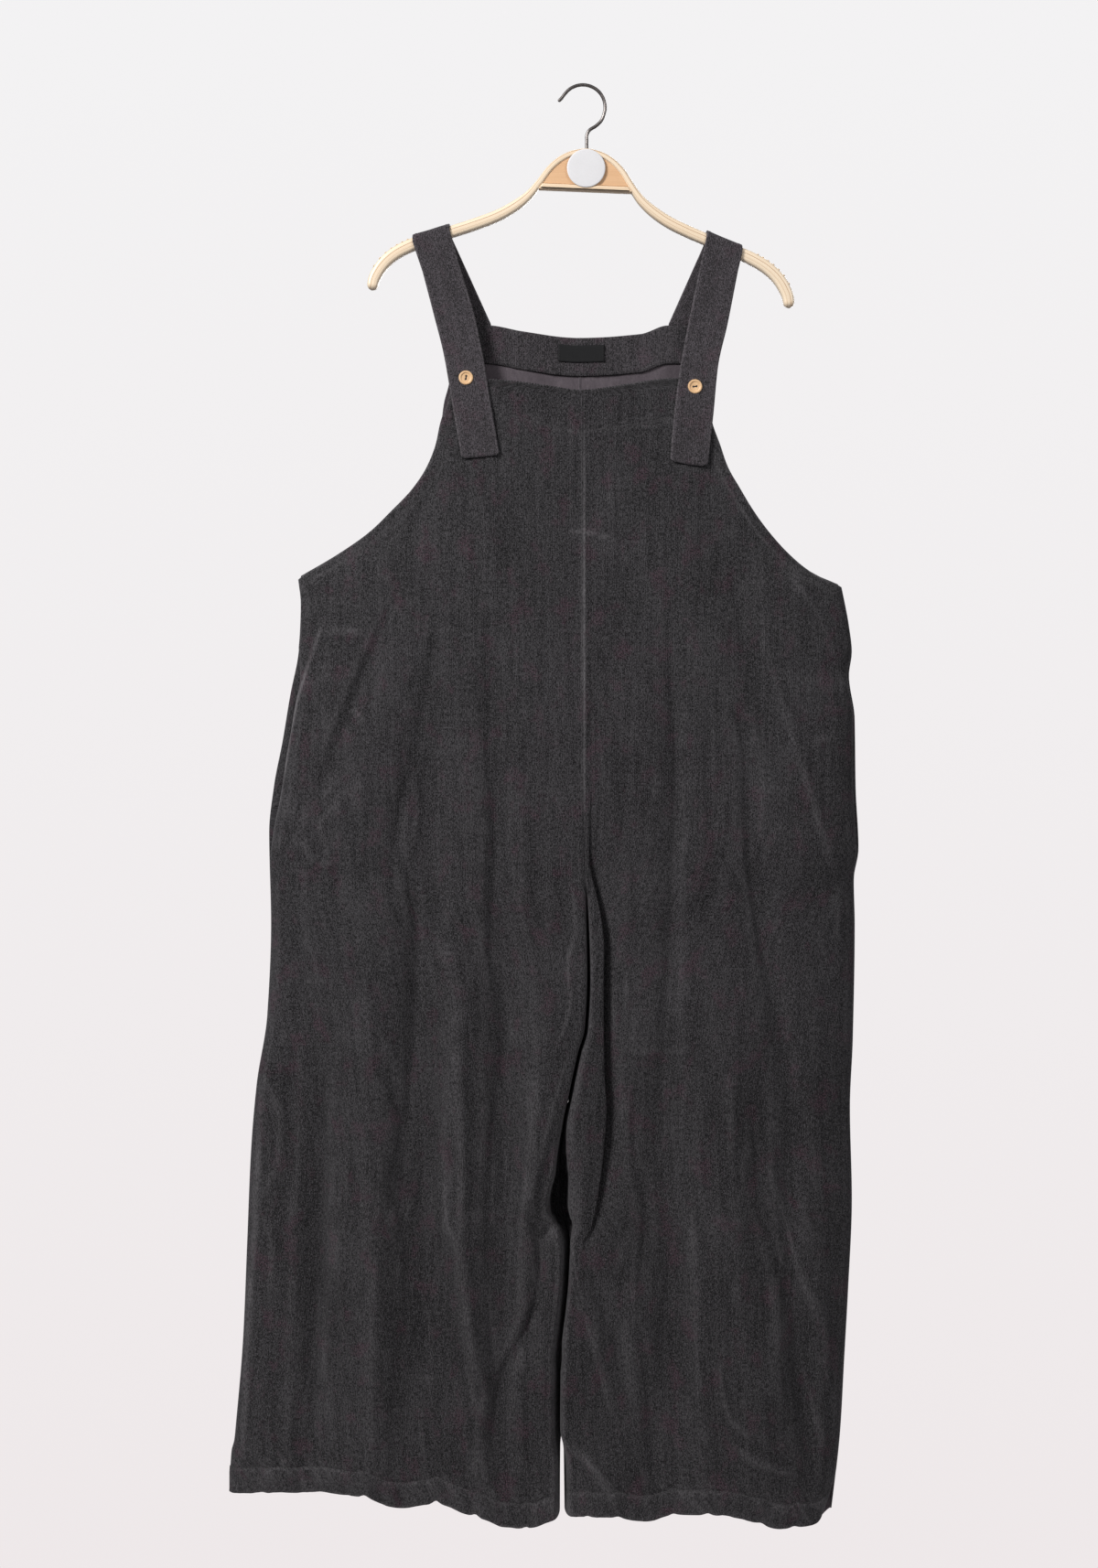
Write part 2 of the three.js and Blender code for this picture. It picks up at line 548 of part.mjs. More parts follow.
// Hanger: half of the bent strip's centreline in its own frame, z down from the top's middle
const BOW_HALF = [
  { x: 0, z: -3.2, thick: 6.3 }, { x: 13, z: -5.6, thick: 6.4 }, { x: 26, z: -12, thick: 6.8 },
  { x: 37.5, z: -22.5, thick: 6.9 }, { x: 48, z: -37.5, thick: 7.2 }, { x: 59, z: -51.5, thick: 9 },
  { x: 72, z: -62.5, thick: 10.8 }, { x: 90, z: -73.5, thick: 11.6 }, { x: 112, z: -83, thick: 12 },
  { x: 136, z: -92, thick: 12 }, { x: 158, z: -100, thick: 12.4 }, { x: 176, z: -107, thick: 13 },
  { x: 192, z: -115.5, thick: 13 }, { x: 204, z: -125.5, thick: 12.8 }, { x: 212, z: -136.5, thick: 12.6 },
  { x: 216.5, z: -147, thick: 12 }, { x: 218, z: -157, thick: 10.5 },
];
const BAR_TOP = -38.6;
const BAR_THICK = 5.6;
// Bar and infill stand this far inside the strip, and the infill this far above the bar
const BAR_CLEAR = 0.5;
const INFILL_ABOVE_BAR = 0.4;

// The strip's section: a rectangle with rounded corners, whose radius is a share of its smaller half
const SECTION_ROUNDING = 0.86;
const SECTION = [];
for (let corner = 0; corner < 4; corner += 1) {
  for (const part of [0, 1, 2]) {
    const angle = (corner + part / 2) * Math.PI / 2;
    SECTION.push({ corner, cos: Math.cos(angle), sin: Math.sin(angle) });
  }
}

function sectionPoint(entry, halfThick, halfDepth) {
  const radius = SECTION_ROUNDING * Math.min(halfThick, halfDepth);
  const towardY = entry.corner === 0 || entry.corner === 3 ? 1 : -1;
  const towardN = entry.corner < 2 ? 1 : -1;
  return {
    y: towardY * (halfDepth - radius) + radius * entry.cos,
    n: towardN * (halfThick - radius) + radius * entry.sin,
  };
}

// A solid bar through rings of equal point counts, with flat ends
function ringSolid(rings) {
  const count = rings[0].length;
  const positions = rings.flat().flatMap((point) => [point.x, point.y, point.z]);
  const indices = [];
  for (let r = 0; r < rings.length - 1; r += 1) {
    for (let i = 0; i < count; i += 1) {
      const j = (i + 1) % count;
      const [a, b] = [r * count + i, r * count + j];
      const [c, d] = [a + count, b + count];
      indices.push(a, b, d, a, d, c);
    }
  }
  const last = (rings.length - 1) * count;
  for (let i = 1; i < count - 1; i += 1) {
    indices.push(0, i + 1, i);
    indices.push(last, last + i, last + i + 1);
  }
  return outward(positions, indices);
}

function hangerBow() {
  const mirrored = BOW_HALF.slice(1).reverse().map((row) => ({ ...row, x: -row.x }));
  const stations = [...mirrored, ...BOW_HALF];
  const rings = stations.map((row, i) => {
    const from = stations[Math.max(0, i - 1)];
    const to = stations[Math.min(stations.length - 1, i + 1)];
    const along = new THREE.Vector2(to.x - from.x, to.z - from.z).normalize();
    return SECTION.map((entry) => {
      const { y, n } = sectionPoint(entry, row.thick / 2, ARM_HALF_DEPTH);
      return new THREE.Vector3(row.x - along.y * n, y, row.z + along.x * n);
    });
  });
  return ringSolid(rings);
}

// The inner line of the bent strip's right half, from the middle down to the bar, a little clear of it
const BOW_INSIDE = BOW_HALF.slice(0, 7).map((row, i) => {
  const from = BOW_HALF[Math.max(0, i - 1)];
  const to = BOW_HALF[i + 1];
  const level = new THREE.Vector2(1, 0);
  const along = i === 0 ? level : new THREE.Vector2(to.x - from.x, to.z - from.z).normalize();
  const inward = row.thick / 2 + BAR_CLEAR;
  return { x: Math.max(0, row.x + along.y * inward), z: row.z - along.x * inward };
});

function bowInsideX(z) {
  return lookup(BOW_INSIDE, 'z', 'x', z);
}

function hangerBar() {
  const bottom = BAR_TOP - BAR_THICK;
  const shape = new THREE.Shape();
  const topHalf = bowInsideX(BAR_TOP);
  const bottomHalf = bowInsideX(bottom);
  shape.moveTo(-bottomHalf, bottom);
  shape.lineTo(bottomHalf, bottom);
  shape.lineTo(topHalf, BAR_TOP);
  shape.lineTo(-topHalf, BAR_TOP);
  return plate(shape, 2 * ARM_HALF_DEPTH);
}

// A flat plate in the hanger's plane from an outline in x and z
function plate(shape, depth, segments = 12) {
  const geometry = new THREE.ExtrudeGeometry(shape, { depth, bevelEnabled: false, curveSegments: segments });
  geometry.translate(0, 0, -depth / 2);
  geometry.rotateX(Math.PI / 2);
  return geometry;
}

function hangerInfill() {
  const shape = new THREE.Shape();
  const lowest = BAR_TOP + INFILL_ABOVE_BAR;
  const above = BOW_INSIDE.filter((row) => row.x > 1 && row.z > lowest + 1).reverse();
  const corner = new THREE.Vector2(bowInsideX(lowest), lowest);
  const right = [corner, ...above.map((row) => new THREE.Vector2(row.x, row.z))];
  const left = right.map((point) => new THREE.Vector2(-point.x, point.y)).reverse();
  shape.setFromPoints([...right, new THREE.Vector2(0, BOW_INSIDE[0].z), ...left]);
  return plate(shape, INFILL_DEPTH);
}

function hangerDisc() {
  const shape = new THREE.Shape().absarc(0, 0, DISC_RADIUS, 0, 2 * Math.PI);
  const geometry = plate(shape, DISC_THICK, DISC_SEGMENTS);
  geometry.translate(0, -ARM_HALF_DEPTH - SEAM_GAP - DISC_THICK / 2, -DISC_RADIUS - DISC_BELOW_TOP);
  return geometry;
}

// The hook: a round loop over the peg, a flared tip, and a bend back to the shank
const LOOP_CENTRE = { x: 3.8, z: -21.2 };
const LOOP_RADIUS = 23.3;
const LOOP_DEGREES = { from: 145, to: -10, step: 15.5 };
const HOOK_TIP = [{ x: -22, z: -15.3 }, { x: -18.6, z: -12.2 }];
const HOOK_SHANK = [
  { x: 23.6, z: -34.5 }, { x: 17.5, z: -40.8 }, { x: 11, z: -45 }, { x: 8.2, z: -50.5 }, { x: 8, z: -57 },
  { x: 8, z: HANGER_TOP.z + 0.35 },
];
const HOOK_STEPS = 44;
const HOOK_SIDES = 8;

function hookPath() {
  const loop = [];
  for (let degrees = LOOP_DEGREES.from; degrees >= LOOP_DEGREES.to; degrees -= LOOP_DEGREES.step) {
    const angle = THREE.MathUtils.degToRad(degrees);
    const x = LOOP_CENTRE.x + LOOP_RADIUS * Math.cos(angle);
    loop.push({ x, z: LOOP_CENTRE.z + LOOP_RADIUS * Math.sin(angle) });
  }
  const points = [...HOOK_TIP, ...loop, ...HOOK_SHANK].map(({ x, z }) => new THREE.Vector3(x, 0, z));
  return new THREE.CatmullRomCurve3(points, false, 'centripetal');
}

function hook() {
  const curve = hookPath();
  const rings = [];
  for (let i = 0; i <= HOOK_STEPS; i += 1) {
    const centre = curve.getPointAt(i / HOOK_STEPS);
    const along = i === HOOK_STEPS ? new THREE.Vector3(0, 0, -1) : curve.getTangentAt(i / HOOK_STEPS);
    const outwardDirection = new THREE.Vector3(along.z, 0, -along.x).normalize();
    const ring = [];
    for (let s = 0; s < HOOK_SIDES; s += 1) {
      const angle = 2 * Math.PI * s / HOOK_SIDES;
      const point = centre.clone().addScaledVector(outwardDirection, WIRE_RADIUS * Math.cos(angle));
      point.y += WIRE_RADIUS * Math.sin(angle);
      ring.push(point);
    }
    rings.push(ring);
  }
  return ringSolid(rings);
}

// Straps: the front run's edges from its end up to the hanger, and the back run's base
const STRAP_FRONT = {
  [LEFT]: [
    { xo: -121.3, zo: -389.4, xi: -83.7, zi: -385.7 }, { xo: -130.8, zo: -335, xi: -92.3, zi: -335 },
    { xo: -140, zo: -281.4, xi: -101.2, zi: -281.4 }, { xo: -151.1, zo: -237.1, xi: -110.8, zi: -237.1 },
    { xo: -162.2, zo: -194.6, xi: -123.7, zi: -194.6 },
  ],
  [RIGHT]: [
    { xo: 132.3, zo: -398, xi: 95, zi: -392.5 }, { xo: 138.5, zo: -343.8, xi: 99.3, zi: -343.8 },
    { xo: 143.3, zo: -294.3, xi: 105.8, zi: -294.3 }, { xo: 153.6, zo: -248.2, xi: 114.5, zi: -248.2 },
    { xo: 164, zo: -195, xi: 125.5, zi: -195 },
  ],
};
const STRAP_BASE = {
  [LEFT]: { xo: -132, xi: -92.5 },
  [RIGHT]: { xo: 133, xi: 94 },
};
const STRAP_ON_ARM = {
  [LEFT]: { xo: -176.5, xi: -140 },
  [RIGHT]: { xo: 165.5, xi: 129 },
};
const STRAP_COLUMNS = [0, 0.5, 1];
const FRONT_STRAP_ROWS = 20;
const BACK_STRAP_ROWS = 7;
// Above the bib's top the strap leaves the cloth between these heights, and reads it no higher than within
const STRAP_LEAVES = { low: 4, high: 45, within: -6 };
const STRAP_OFF_ARM = 0.6;
// The strap wraps the arm in a section between a circle and a square, in steps of this many degrees
const WRAP_POWER = 0.66;
const WRAP_STEP = 20;

function hangerToWorld(x, z) {
  const point = new THREE.Vector3(x, 0, z);
  point.applyAxisAngle(new THREE.Vector3(0, 1, 0), HANGER_TILT);
  return point.add(HANGER_TOP);
}

const SLOPE_STEP = 3;

// Where the strap crosses the arm at a share of its width, and the arm's half height there
function armUnderStrap(side, across) {
  const { xo, xi } = STRAP_ON_ARM[side];
  const local = THREE.MathUtils.lerp(xo, xi, across);
  const centre = lookup(BOW_HALF, 'x', 'z', Math.abs(local));
  const slope = (lookup(BOW_HALF, 'x', 'z', Math.abs(local) + SLOPE_STEP) - centre) / SLOPE_STEP;
  const half = lookup(BOW_HALF, 'x', 'thick', Math.abs(local)) / 2 * Math.hypot(1, slope);
  return { point: hangerToWorld(local, centre), half };
}

function frontStandOff(side, x, z) {
  const clear = CLOTH / 2 + SEAM_GAP + STRAP / 2 + 2 * LAY_SLACK;
  return standOff(side, FRONT, x, z) + clear;
}

function strapPoints(side) {
  const rows = [];
  const table = STRAP_FRONT[side];
  const steps = table.length - 1;
  const strapOffset = STRAP / 2 + SEAM_GAP + LAY_SLACK;
  const armY = ARM_HALF_DEPTH + strapOffset;
  const bibTop = TOP_EDGE[FRONT][0].z;
  for (let i = 0; i < FRONT_STRAP_ROWS; i += 1) {
    const at = i / (FRONT_STRAP_ROWS - 1) * steps;
    const low = Math.min(Math.floor(at), steps - 1);
    const mix = (column) => THREE.MathUtils.lerp(table[low][column], table[low + 1][column], at - low);
    rows.push(STRAP_COLUMNS.map((across) => {
      const x = THREE.MathUtils.lerp(mix('xo'), mix('xi'), across);
      const z = THREE.MathUtils.lerp(mix('zo'), mix('zi'), across);
      const onBib = frontStandOff(side, x, Math.min(z, bibTop + STRAP_LEAVES.within));
      const free = smooth(bibTop + STRAP_LEAVES.low, bibTop + STRAP_LEAVES.high, z);
      return new THREE.Vector3(x, -THREE.MathUtils.lerp(onBib, armY + STRAP_OFF_ARM, free), z);
    }));
  }
  for (let degrees = 0; degrees <= 180; degrees += WRAP_STEP) {
    const angle = THREE.MathUtils.degToRad(degrees);
    const cos = Math.sign(Math.cos(angle)) * Math.abs(Math.cos(angle)) ** WRAP_POWER;
    const sin = Math.abs(Math.sin(angle)) ** WRAP_POWER;
    rows.push(STRAP_COLUMNS.map((across) => {
      const { point, half } = armUnderStrap(side, across);
      return new THREE.Vector3(point.x, -armY * cos, point.z + (half + strapOffset) * sin);
    }));
  }
  const base = STRAP_BASE[side];
  for (let i = 1; i <= BACK_STRAP_ROWS; i += 1) {
    const share = i / BACK_STRAP_ROWS;
    rows.push(STRAP_COLUMNS.map((across) => {
      const start = armUnderStrap(side, across).point;
      const endX = THREE.MathUtils.lerp(base.xo, base.xi, across);
      const endZ = lookup(TOP_EDGE[BACK], 'x', 'z', endX) + SEAM_GAP + LAY_SLACK;
      const endY = lookup(DEPTH, 'z', 'back', endZ);
      return new THREE.Vector3(
        THREE.MathUtils.lerp(start.x, endX, share),
        THREE.MathUtils.lerp(armY, endY, share),
        THREE.MathUtils.lerp(start.z, endZ, share),
      );
    }));
  }
  return rows;
}

function strap(side) {
  const points = strapPoints(side);
  return thicken(points, gridNormals(points), STRAP);
}

// Buttons: a flat disc with two thread holes on the front of each strap
const BUTTON_AT = {
  [LEFT]: { x: -117.8, z: -305.4 },
  [RIGHT]: { x: 120.3, z: -314.6 },
};
const HOLE_RADIUS = 0.9;
const HOLE_APART = 3;
const BUTTON_SEGMENTS = 6;
// A button clears the strap where it stands furthest out under it, this far below its middle
const BUTTON_SEAT_BELOW = 14;

function button(side) {
  const { x, z } = BUTTON_AT[side];
  const shape = new THREE.Shape().absarc(0, 0, BUTTON_RADIUS, 0, 2 * Math.PI);
  for (const sign of [-1, 1]) {
    shape.holes.push(new THREE.Path().absarc(sign * HOLE_APART / 2, 0, HOLE_RADIUS, 0, 2 * Math.PI, true));
  }
  const geometry = plate(shape, BUTTON_THICK, BUTTON_SEGMENTS);
  const onStrap = frontStandOff(side, x, z - BUTTON_SEAT_BELOW) + STRAP / 2;
  const seat = onStrap + SEAM_GAP + BUTTON_THICK / 2 + LAY_SLACK;
  geometry.translate(x, -seat, z);
  return geometry;
}

// Pocket bags: a flat pouch inside each side, open at the mouth in the side seam
const BAG_RIM = [
  { reach: 34, z: -588 }, { reach: 62, z: -574 }, { reach: 86, z: -588 }, { reach: 96, z: -630 },
  { reach: 97, z: -690 }, { reach: 95, z: -740 }, { reach: 86, z: -782 }, { reach: 64, z: -810 },
  { reach: 42, z: -812 }, { reach: 28, z: -796 },
];
const MOUTH = { top: -604, bottom: -752 };
const RIGHT_BAG_DROP = 34;
const BAG_FRONT_SHARES = [0, 0.35, 0.7, 0.94];
const BAG_SWELL = 3.5;
const BAG_FRONT_SWELL = 0.5;
// How far the bag's layers stand from the front's mouth and the back's edge
const BAG_CLEAR = { front: 0.2, back: 0.1, behind_mouth: 1 };

function pocketBag(side) {
  const drop = side === RIGHT ? RIGHT_BAG_DROP : 0;
  const rows = BAG_RIM.map((rim, i) => {
    const along = i / (BAG_RIM.length - 1);
    const mouthZ = THREE.MathUtils.lerp(MOUTH.top, MOUTH.bottom, along) - drop;
    const rimZ = rim.z - drop;
    const outline = outlineX(side, BACK, mouthZ);
    const rimX = outline - side * rim.reach;
    const frontX = outerX(side, FRONT, mouthZ) - side * BAG_CLEAR.front;
    const backX = outline + side * BAG_CLEAR.back;
    const frontY = -(freeEdge(side, FRONT, mouthZ) - SEAM_GAP - BAG / 2 - BAG_CLEAR.behind_mouth);
    const backY = -(SEAM_GAP - HALF_GAP + BAG / 2);
    const swell = BAG_SWELL * Math.sin(Math.PI * along);
    const row = [];
    for (const share of BAG_FRONT_SHARES) {
      const y = frontY - BAG_FRONT_SWELL * swell * Math.sin(Math.PI * share);
      row.push(bagPoint(frontX, rimX, mouthZ, rimZ, share, y));
    }
    const rimY = (frontY + backY) / 2;
    row.push(bagPoint(frontX, rimX, mouthZ, rimZ, 1, rimY));
    for (const share of [...BAG_FRONT_SHARES].reverse()) {
      const y = backY + swell * Math.sin(Math.PI * share);
      row.push(bagPoint(backX, rimX, mouthZ, rimZ, share, y));
    }
    return row;
  });
  return thicken(rows, gridNormals(rows), BAG);
}

function bagPoint(mouthX, rimX, mouthZ, rimZ, share, y) {
  const x = THREE.MathUtils.lerp(mouthX, rimX, share);
  return new THREE.Vector3(x, y, THREE.MathUtils.lerp(mouthZ, rimZ, share));
}

const overalls = new THREE.Group();

function add(name, geometry, material, parent = overalls) {
  const mesh = new THREE.Mesh(geometry, material);
  mesh.name = name;
  parent.add(mesh);
}

const sides = [[LEFT, 'left'], [RIGHT, 'right']];
for (const [side, name] of sides) {
  add(`front_panel_${name}`, panel(side, FRONT), materials.cord);
  add(`back_panel_${name}`, panel(side, BACK), materials.cord);
  add(`strap_${name}`, strap(side), materials.strap);
  add(`button_${name}`, button(side), materials.button);
  add(`pocket_bag_${name}`, pocketBag(side), materials.pocket);
}
add('back_neck_facing', backNeckFacing(), materials.strap);
add('neck_label', neckLabel(), materials.label);

const hanger = new THREE.Group();
hanger.position.copy(HANGER_TOP);
hanger.rotation.y = HANGER_TILT;
add('hanger_bow', hangerBow(), materials.wood, hanger);
add('hanger_bar', hangerBar(), materials.wood, hanger);
add('hanger_infill', hangerInfill(), materials.ply, hanger);
add('hanger_disc', hangerDisc(), materials.sticker, hanger);
overalls.add(hanger);
add('hanger_hook', hook(), materials.steel);

export default overalls;
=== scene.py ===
import math

import bmesh
import bpy
import numpy as np
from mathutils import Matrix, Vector
from mathutils.bvhtree import BVHTree


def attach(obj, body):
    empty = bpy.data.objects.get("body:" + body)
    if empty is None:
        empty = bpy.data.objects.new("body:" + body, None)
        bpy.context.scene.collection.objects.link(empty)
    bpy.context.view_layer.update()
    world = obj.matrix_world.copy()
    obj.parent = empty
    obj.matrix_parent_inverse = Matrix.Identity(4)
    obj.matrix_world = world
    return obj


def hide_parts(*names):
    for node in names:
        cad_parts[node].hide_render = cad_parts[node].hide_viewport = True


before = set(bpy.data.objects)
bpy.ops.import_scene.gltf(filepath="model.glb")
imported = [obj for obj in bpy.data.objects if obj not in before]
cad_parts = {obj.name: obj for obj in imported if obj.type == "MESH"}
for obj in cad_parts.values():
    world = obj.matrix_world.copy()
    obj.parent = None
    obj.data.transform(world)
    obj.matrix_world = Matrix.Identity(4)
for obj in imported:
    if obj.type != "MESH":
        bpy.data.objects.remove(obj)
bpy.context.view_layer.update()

MM = 0.001
LEFT, RIGHT = -1, 1
FRONT, BACK = -1, 1
SIDE_NAMES = {LEFT: "left", RIGHT: "right"}
FACE_NAMES = {FRONT: "front", BACK: "back"}

# Sizes shared with the solids
CLOTH = 1.2
STRAP = 2.2
STRAP_WIDTH = 38.5
FACING = 1.2
UNDERARM, CROTCH, LEG_START = -522, -1170, -1186
FACING_DEPTH = 39
ARM_HALF_DEPTH = 7
WIRE_RADIUS = 1.8
HANGER_TILT = math.radians(2.45)
HANGER_TOP = (8.1, -64.9)
LEG_ROUND = 7

# Outline: height, then x of the edge there
CORNER = {LEFT: (-512.5, -293), RIGHT: (-521, 273)}
SIDE_BELOW = {
    LEFT: [CORNER[LEFT], (-539, -290), (-587, -292), (-635, -301), (-683, -309), (-730, -318), (-778, -323),
           (-874, -321), (-969, -325), (-1041, -336), (-1112, -342), (-1208, -346), (-1303, -350),
           (-1399, -358), (-1412, -359.3), (-1424, -362.3), (-1470, -365)],
    RIGHT: [CORNER[RIGHT], (-563, 281), (-590, 284), (-614, 281), (-659, 287), (-730, 288), (-795, 291),
            (-828, 286), (-874, 287), (-993, 285), (-1065, 282), (-1160, 284), (-1256, 280), (-1327, 276),
            (-1399, 272), (-1490, 262)],
}
ARMHOLE = {
    LEFT: [(-351, -144), (-374, -149), (-397, -158), (-420, -173), (-443, -195), (-466, -219), (-489, -252)],
    RIGHT: [(-351, 138), (-374, 146), (-397, 154), (-420, 167), (-443, 181), (-466, 198), (-489, 219),
            (-508, 243)],
}
BIB_TOP_SIDE = {
    (FRONT, LEFT): [(-306, -128.5), (-329, -136)],
    (FRONT, RIGHT): [(-308, 133), (-329, 134.5)],
    (BACK, LEFT): [(-246, -133), (-306, -135.5), (-329, -141)],
    (BACK, RIGHT): [(-248, 134), (-306, 134), (-329, 136)],
}
# Top and hem edges: x, then the height there
TOP_EDGE = {
    FRONT: [(-128.5, -306), (-77, -308), (-30, -314), (2, -318), (50, -312), (97, -306), (133, -308)],
    BACK: [(-133, -246), (-92, -248), (-60, -254), (0, -261), (64, -257), (93, -248), (134, -248)],
}
HEM_EDGE = {
    LEFT: [(-365, -1464), (-278, -1458), (-222, -1461), (-190, -1472), (-149, -1469), (-115, -1480),
           (-56, -1495), (-35, -1489), (-20, -1482)],
    RIGHT: [(-14, -1481), (35, -1483), (66, -1487), (99, -1481), (143, -1481), (177, -1488), (216, -1498),
            (249, -1497), (262, -1482)],
}
SEAM = {
    FRONT: [(-261, 4.3), (-754, 4.3), (-800, 5.2), (-864, 8), (-926, 9.5), (-980, 7), (-1005, 0),
            (-1047, -9), (-1081, -16), (-1123, -20), (-1170, -20)],
    BACK: [(-261, 1), (-700, 0), (-900, -5), (-1050, -14), (-1170, -20)],
}
LEG_GAP = [(-1170, -20), (-1190, -12.5), (-1212, -8), (-1240, -9), (-1262, -11), (-1321, -17), (-1400, -18),
           (-1485, -17.7)]
LEG_PARTING = [(-1170, 0.75), (-1302, 0.75), (-1320, 1.9), (-1338, 0.75), (-1398, 0.8), (-1412, 2.1),
               (-1440, 2.6), (-1485, 3.0)]
# Depth: height, front and back stand-off
DEPTH = [
    (-246, 8.6, 9.0), (-318, 10.5, 10.5), (-400, 15, 14), (-522, 25, 22), (-640, 33, 29), (-754, 36, 33),
    (-864, 38, 35), (-1005, 39, 36), (-1170, 39, 36), (-1300, 40, 37), (-1500, 38, 36),
]
# How deep the groove between the halves is, as a share of the depth, and how wide
VALLEY = {
    FRONT: [(-830, 0), (-868, 0.3), (-930, 0.6), (-1005, 0.75), (-1081, 0.9), (-1170, 1)],
    BACK: [(-522, 0), (-640, 0.02), (-754, 0.06), (-864, 0.14), (-1005, 0.34), (-1081, 0.55), (-1123, 0.76),
           (-1170, 1)],
}
VALLEY_WIDTH = {FRONT: 1.3, BACK: 19.8}
# The dark hollow beside the crotch: height, its reach from the inner edge, and its depth as a share
CLIFF = {
    LEFT: [(-1070, 0, 0), (-1089, 1.3, 0.5), (-1126, 3.5, 0.85), (-1162, 10.6, 0.9), (-1176, 9, 0.8),
           (-1190, 5, 0.45), (-1204, 0, 0)],
    RIGHT: [(-1070, 0, 0), (-1098, 3, 0.6), (-1136, 7.1, 0.9), (-1175, 7.5, 0.85), (-1205, 2.5, 0.4),
            (-1225, 0, 0)],
}
CLIFF_ROUND = 3.2
SEAM_PARTING, VALLEY_PARTING = 0.15, 0.55
# The legs lean over each other where they touch, so that nothing shows between them
LEG_SHEAR = [(-1186, 0), (-1205, 0.16), (-1390, 0.16), (-1425, 0)]
SHEAR_REACH = 24
# The back's seam runs a little beside the front's at the crotch, for the same reason
BACK_ASIDE = [(-1015, 0), (-1058, 3.2), (-1188, 3.2), (-1215, 0)]
# Notches in the hem's edge: x, rise, width
HEM_NOTCHES = {
    LEFT: [(-330, 1.2, 6), (-292, -1.0, 9), (-222, 2.4, 5), (-180, -1.2, 9), (-148, 3.0, 4), (-107, 2.6, 4),
           (-80, -1.2, 8), (-55, 2.0, 4)],
    RIGHT: [(8, 1.2, 4), (40, 2.2, 5), (76, -1.0, 7), (96, 1.8, 4), (131, 2.0, 5), (158, -1.2, 8),
            (190, 1.6, 5), (226, 1.8, 5)],
}
FREE_EDGE = {
    LEFT: [(-246, 8.6), (-400, 9), (-450, 7), (-490, 3.5), (-512, 0.15), (-570, 0.15), (-594, 5),
           (-624, 10.5), (-745, 11), (-785, 6), (-805, 0.15), (-1500, 0.15)],
    RIGHT: [(-246, 8.6), (-400, 9), (-460, 7), (-500, 3.5), (-526, 0.15), (-598, 0.15), (-628, 8),
            (-655, 9.5), (-778, 9.5), (-815, 4), (-835, 0.15), (-1500, 0.15)],
}
MOUTH_INSET = {
    LEFT: [(-588, 0), (-606, 4.5), (-624, 8.6), (-652, 8), (-693, 8), (-725, 9.6), (-748, 9), (-771, 6),
           (-791, 2.9), (-806, 0)],
    RIGHT: [(-590, 0), (-614, 2), (-780, 4), (-830, 0), (-1440, 0), (-1478, 6), (-1497, 11)],
}
MOUTH_TOP = {LEFT: -624, RIGHT: -614}
# The fold that laps over beside the centre: height, x of its edge, drop of the cloth beyond it
LAP_FOLD = [(-600, 12, 0), (-722, 7, 0), (-754, 7.2, 2.5), (-797, 8.5, 5.5), (-820, 11.5, 8),
            (-858, 20.4, 12), (-896, 24.8, 15), (-954, 24.2, 16), (-1027, 25, 16), (-1061, 27.2, 15),
            (-1109, 23.9, 13), (-1154, 18.1, 9), (-1185, 12, 5), (-1200, 8.6, 1.5), (-1214, 6, 0),
            (-1500, 6, 0)]
# Its section: share of the way across, x from the edge, share of the drop
LAP_SECTION = [(0, -10, 0), (0.2, -4, 0), (0.33, -0.9, 0.02), (0.4, 0, 0.09), (0.46, -0.9, 0.16),
               (0.6, -5.2, 0.34), (0.69, -6.8, 0.58), (0.76, -6.2, 0.8), (0.84, -2.5, 0.96), (1, 10, 1)]
LAP_REACH = 10
LAP_ROOM = 0.65
LAP_FULL_DROP = 7
LAP_FALLOFF = 14

# Largest folds, as in the solids: three points (x, z) on the line, width and height
FOLDS = {
    FRONT: [
        (-160, -430, -212, -600, -272, -744, 16, -4), (-150, -660, -166, -900, -157, -1250, 22, -10.5),
        (-92, -650, -78, -1000, -82, -1350, 15, -8), (-215, -900, -216, -1150, -222, -1440, 26, 8),
        (-128, -960, -121, -1200, -104, -1440, 15, 6.5), (-275, -1000, -276, -1200, -282, -1440, 22, -8),
        (-48, -1060, -54, -1180, -60, -1300, 11, 5), (96, -580, 92, -850, 90, -1090, 12, -3.6),
        (80, -1060, 88, -1240, 78, -1430, 26, -11.5), (168, -670, 190, -900, 224, -1100, 13, -4.2),
        (140, -930, 160, -1150, 178, -1400, 24, 6.5), (215, -1130, 222, -1250, 240, -1420, 14, -6.5),
        (150, -500, 178, -590, 200, -700, 16, -4),
    ],
    BACK: [
        (-150, -460, -185, -620, -215, -780, 18, -4), (-110, -640, -122, -900, -128, -1300, 20, -9),
        (-205, -860, -212, -1100, -222, -1400, 24, -8), (-165, -900, -168, -1150, -172, -1440, 22, 6.5),
        (-280, -900, -285, -1150, -295, -1440, 22, 6.5), (118, -600, 124, -900, 128, -1250, 18, -9),
        (205, -800, 210, -1050, 218, -1400, 20, -8), (60, -1000, 66, -1200, 62, -1430, 22, -8),
        (162, -900, 168, -1150, 175, -1440, 22, 6.5), (150, -480, 182, -620, 205, -760, 18, -4),
    ],
}
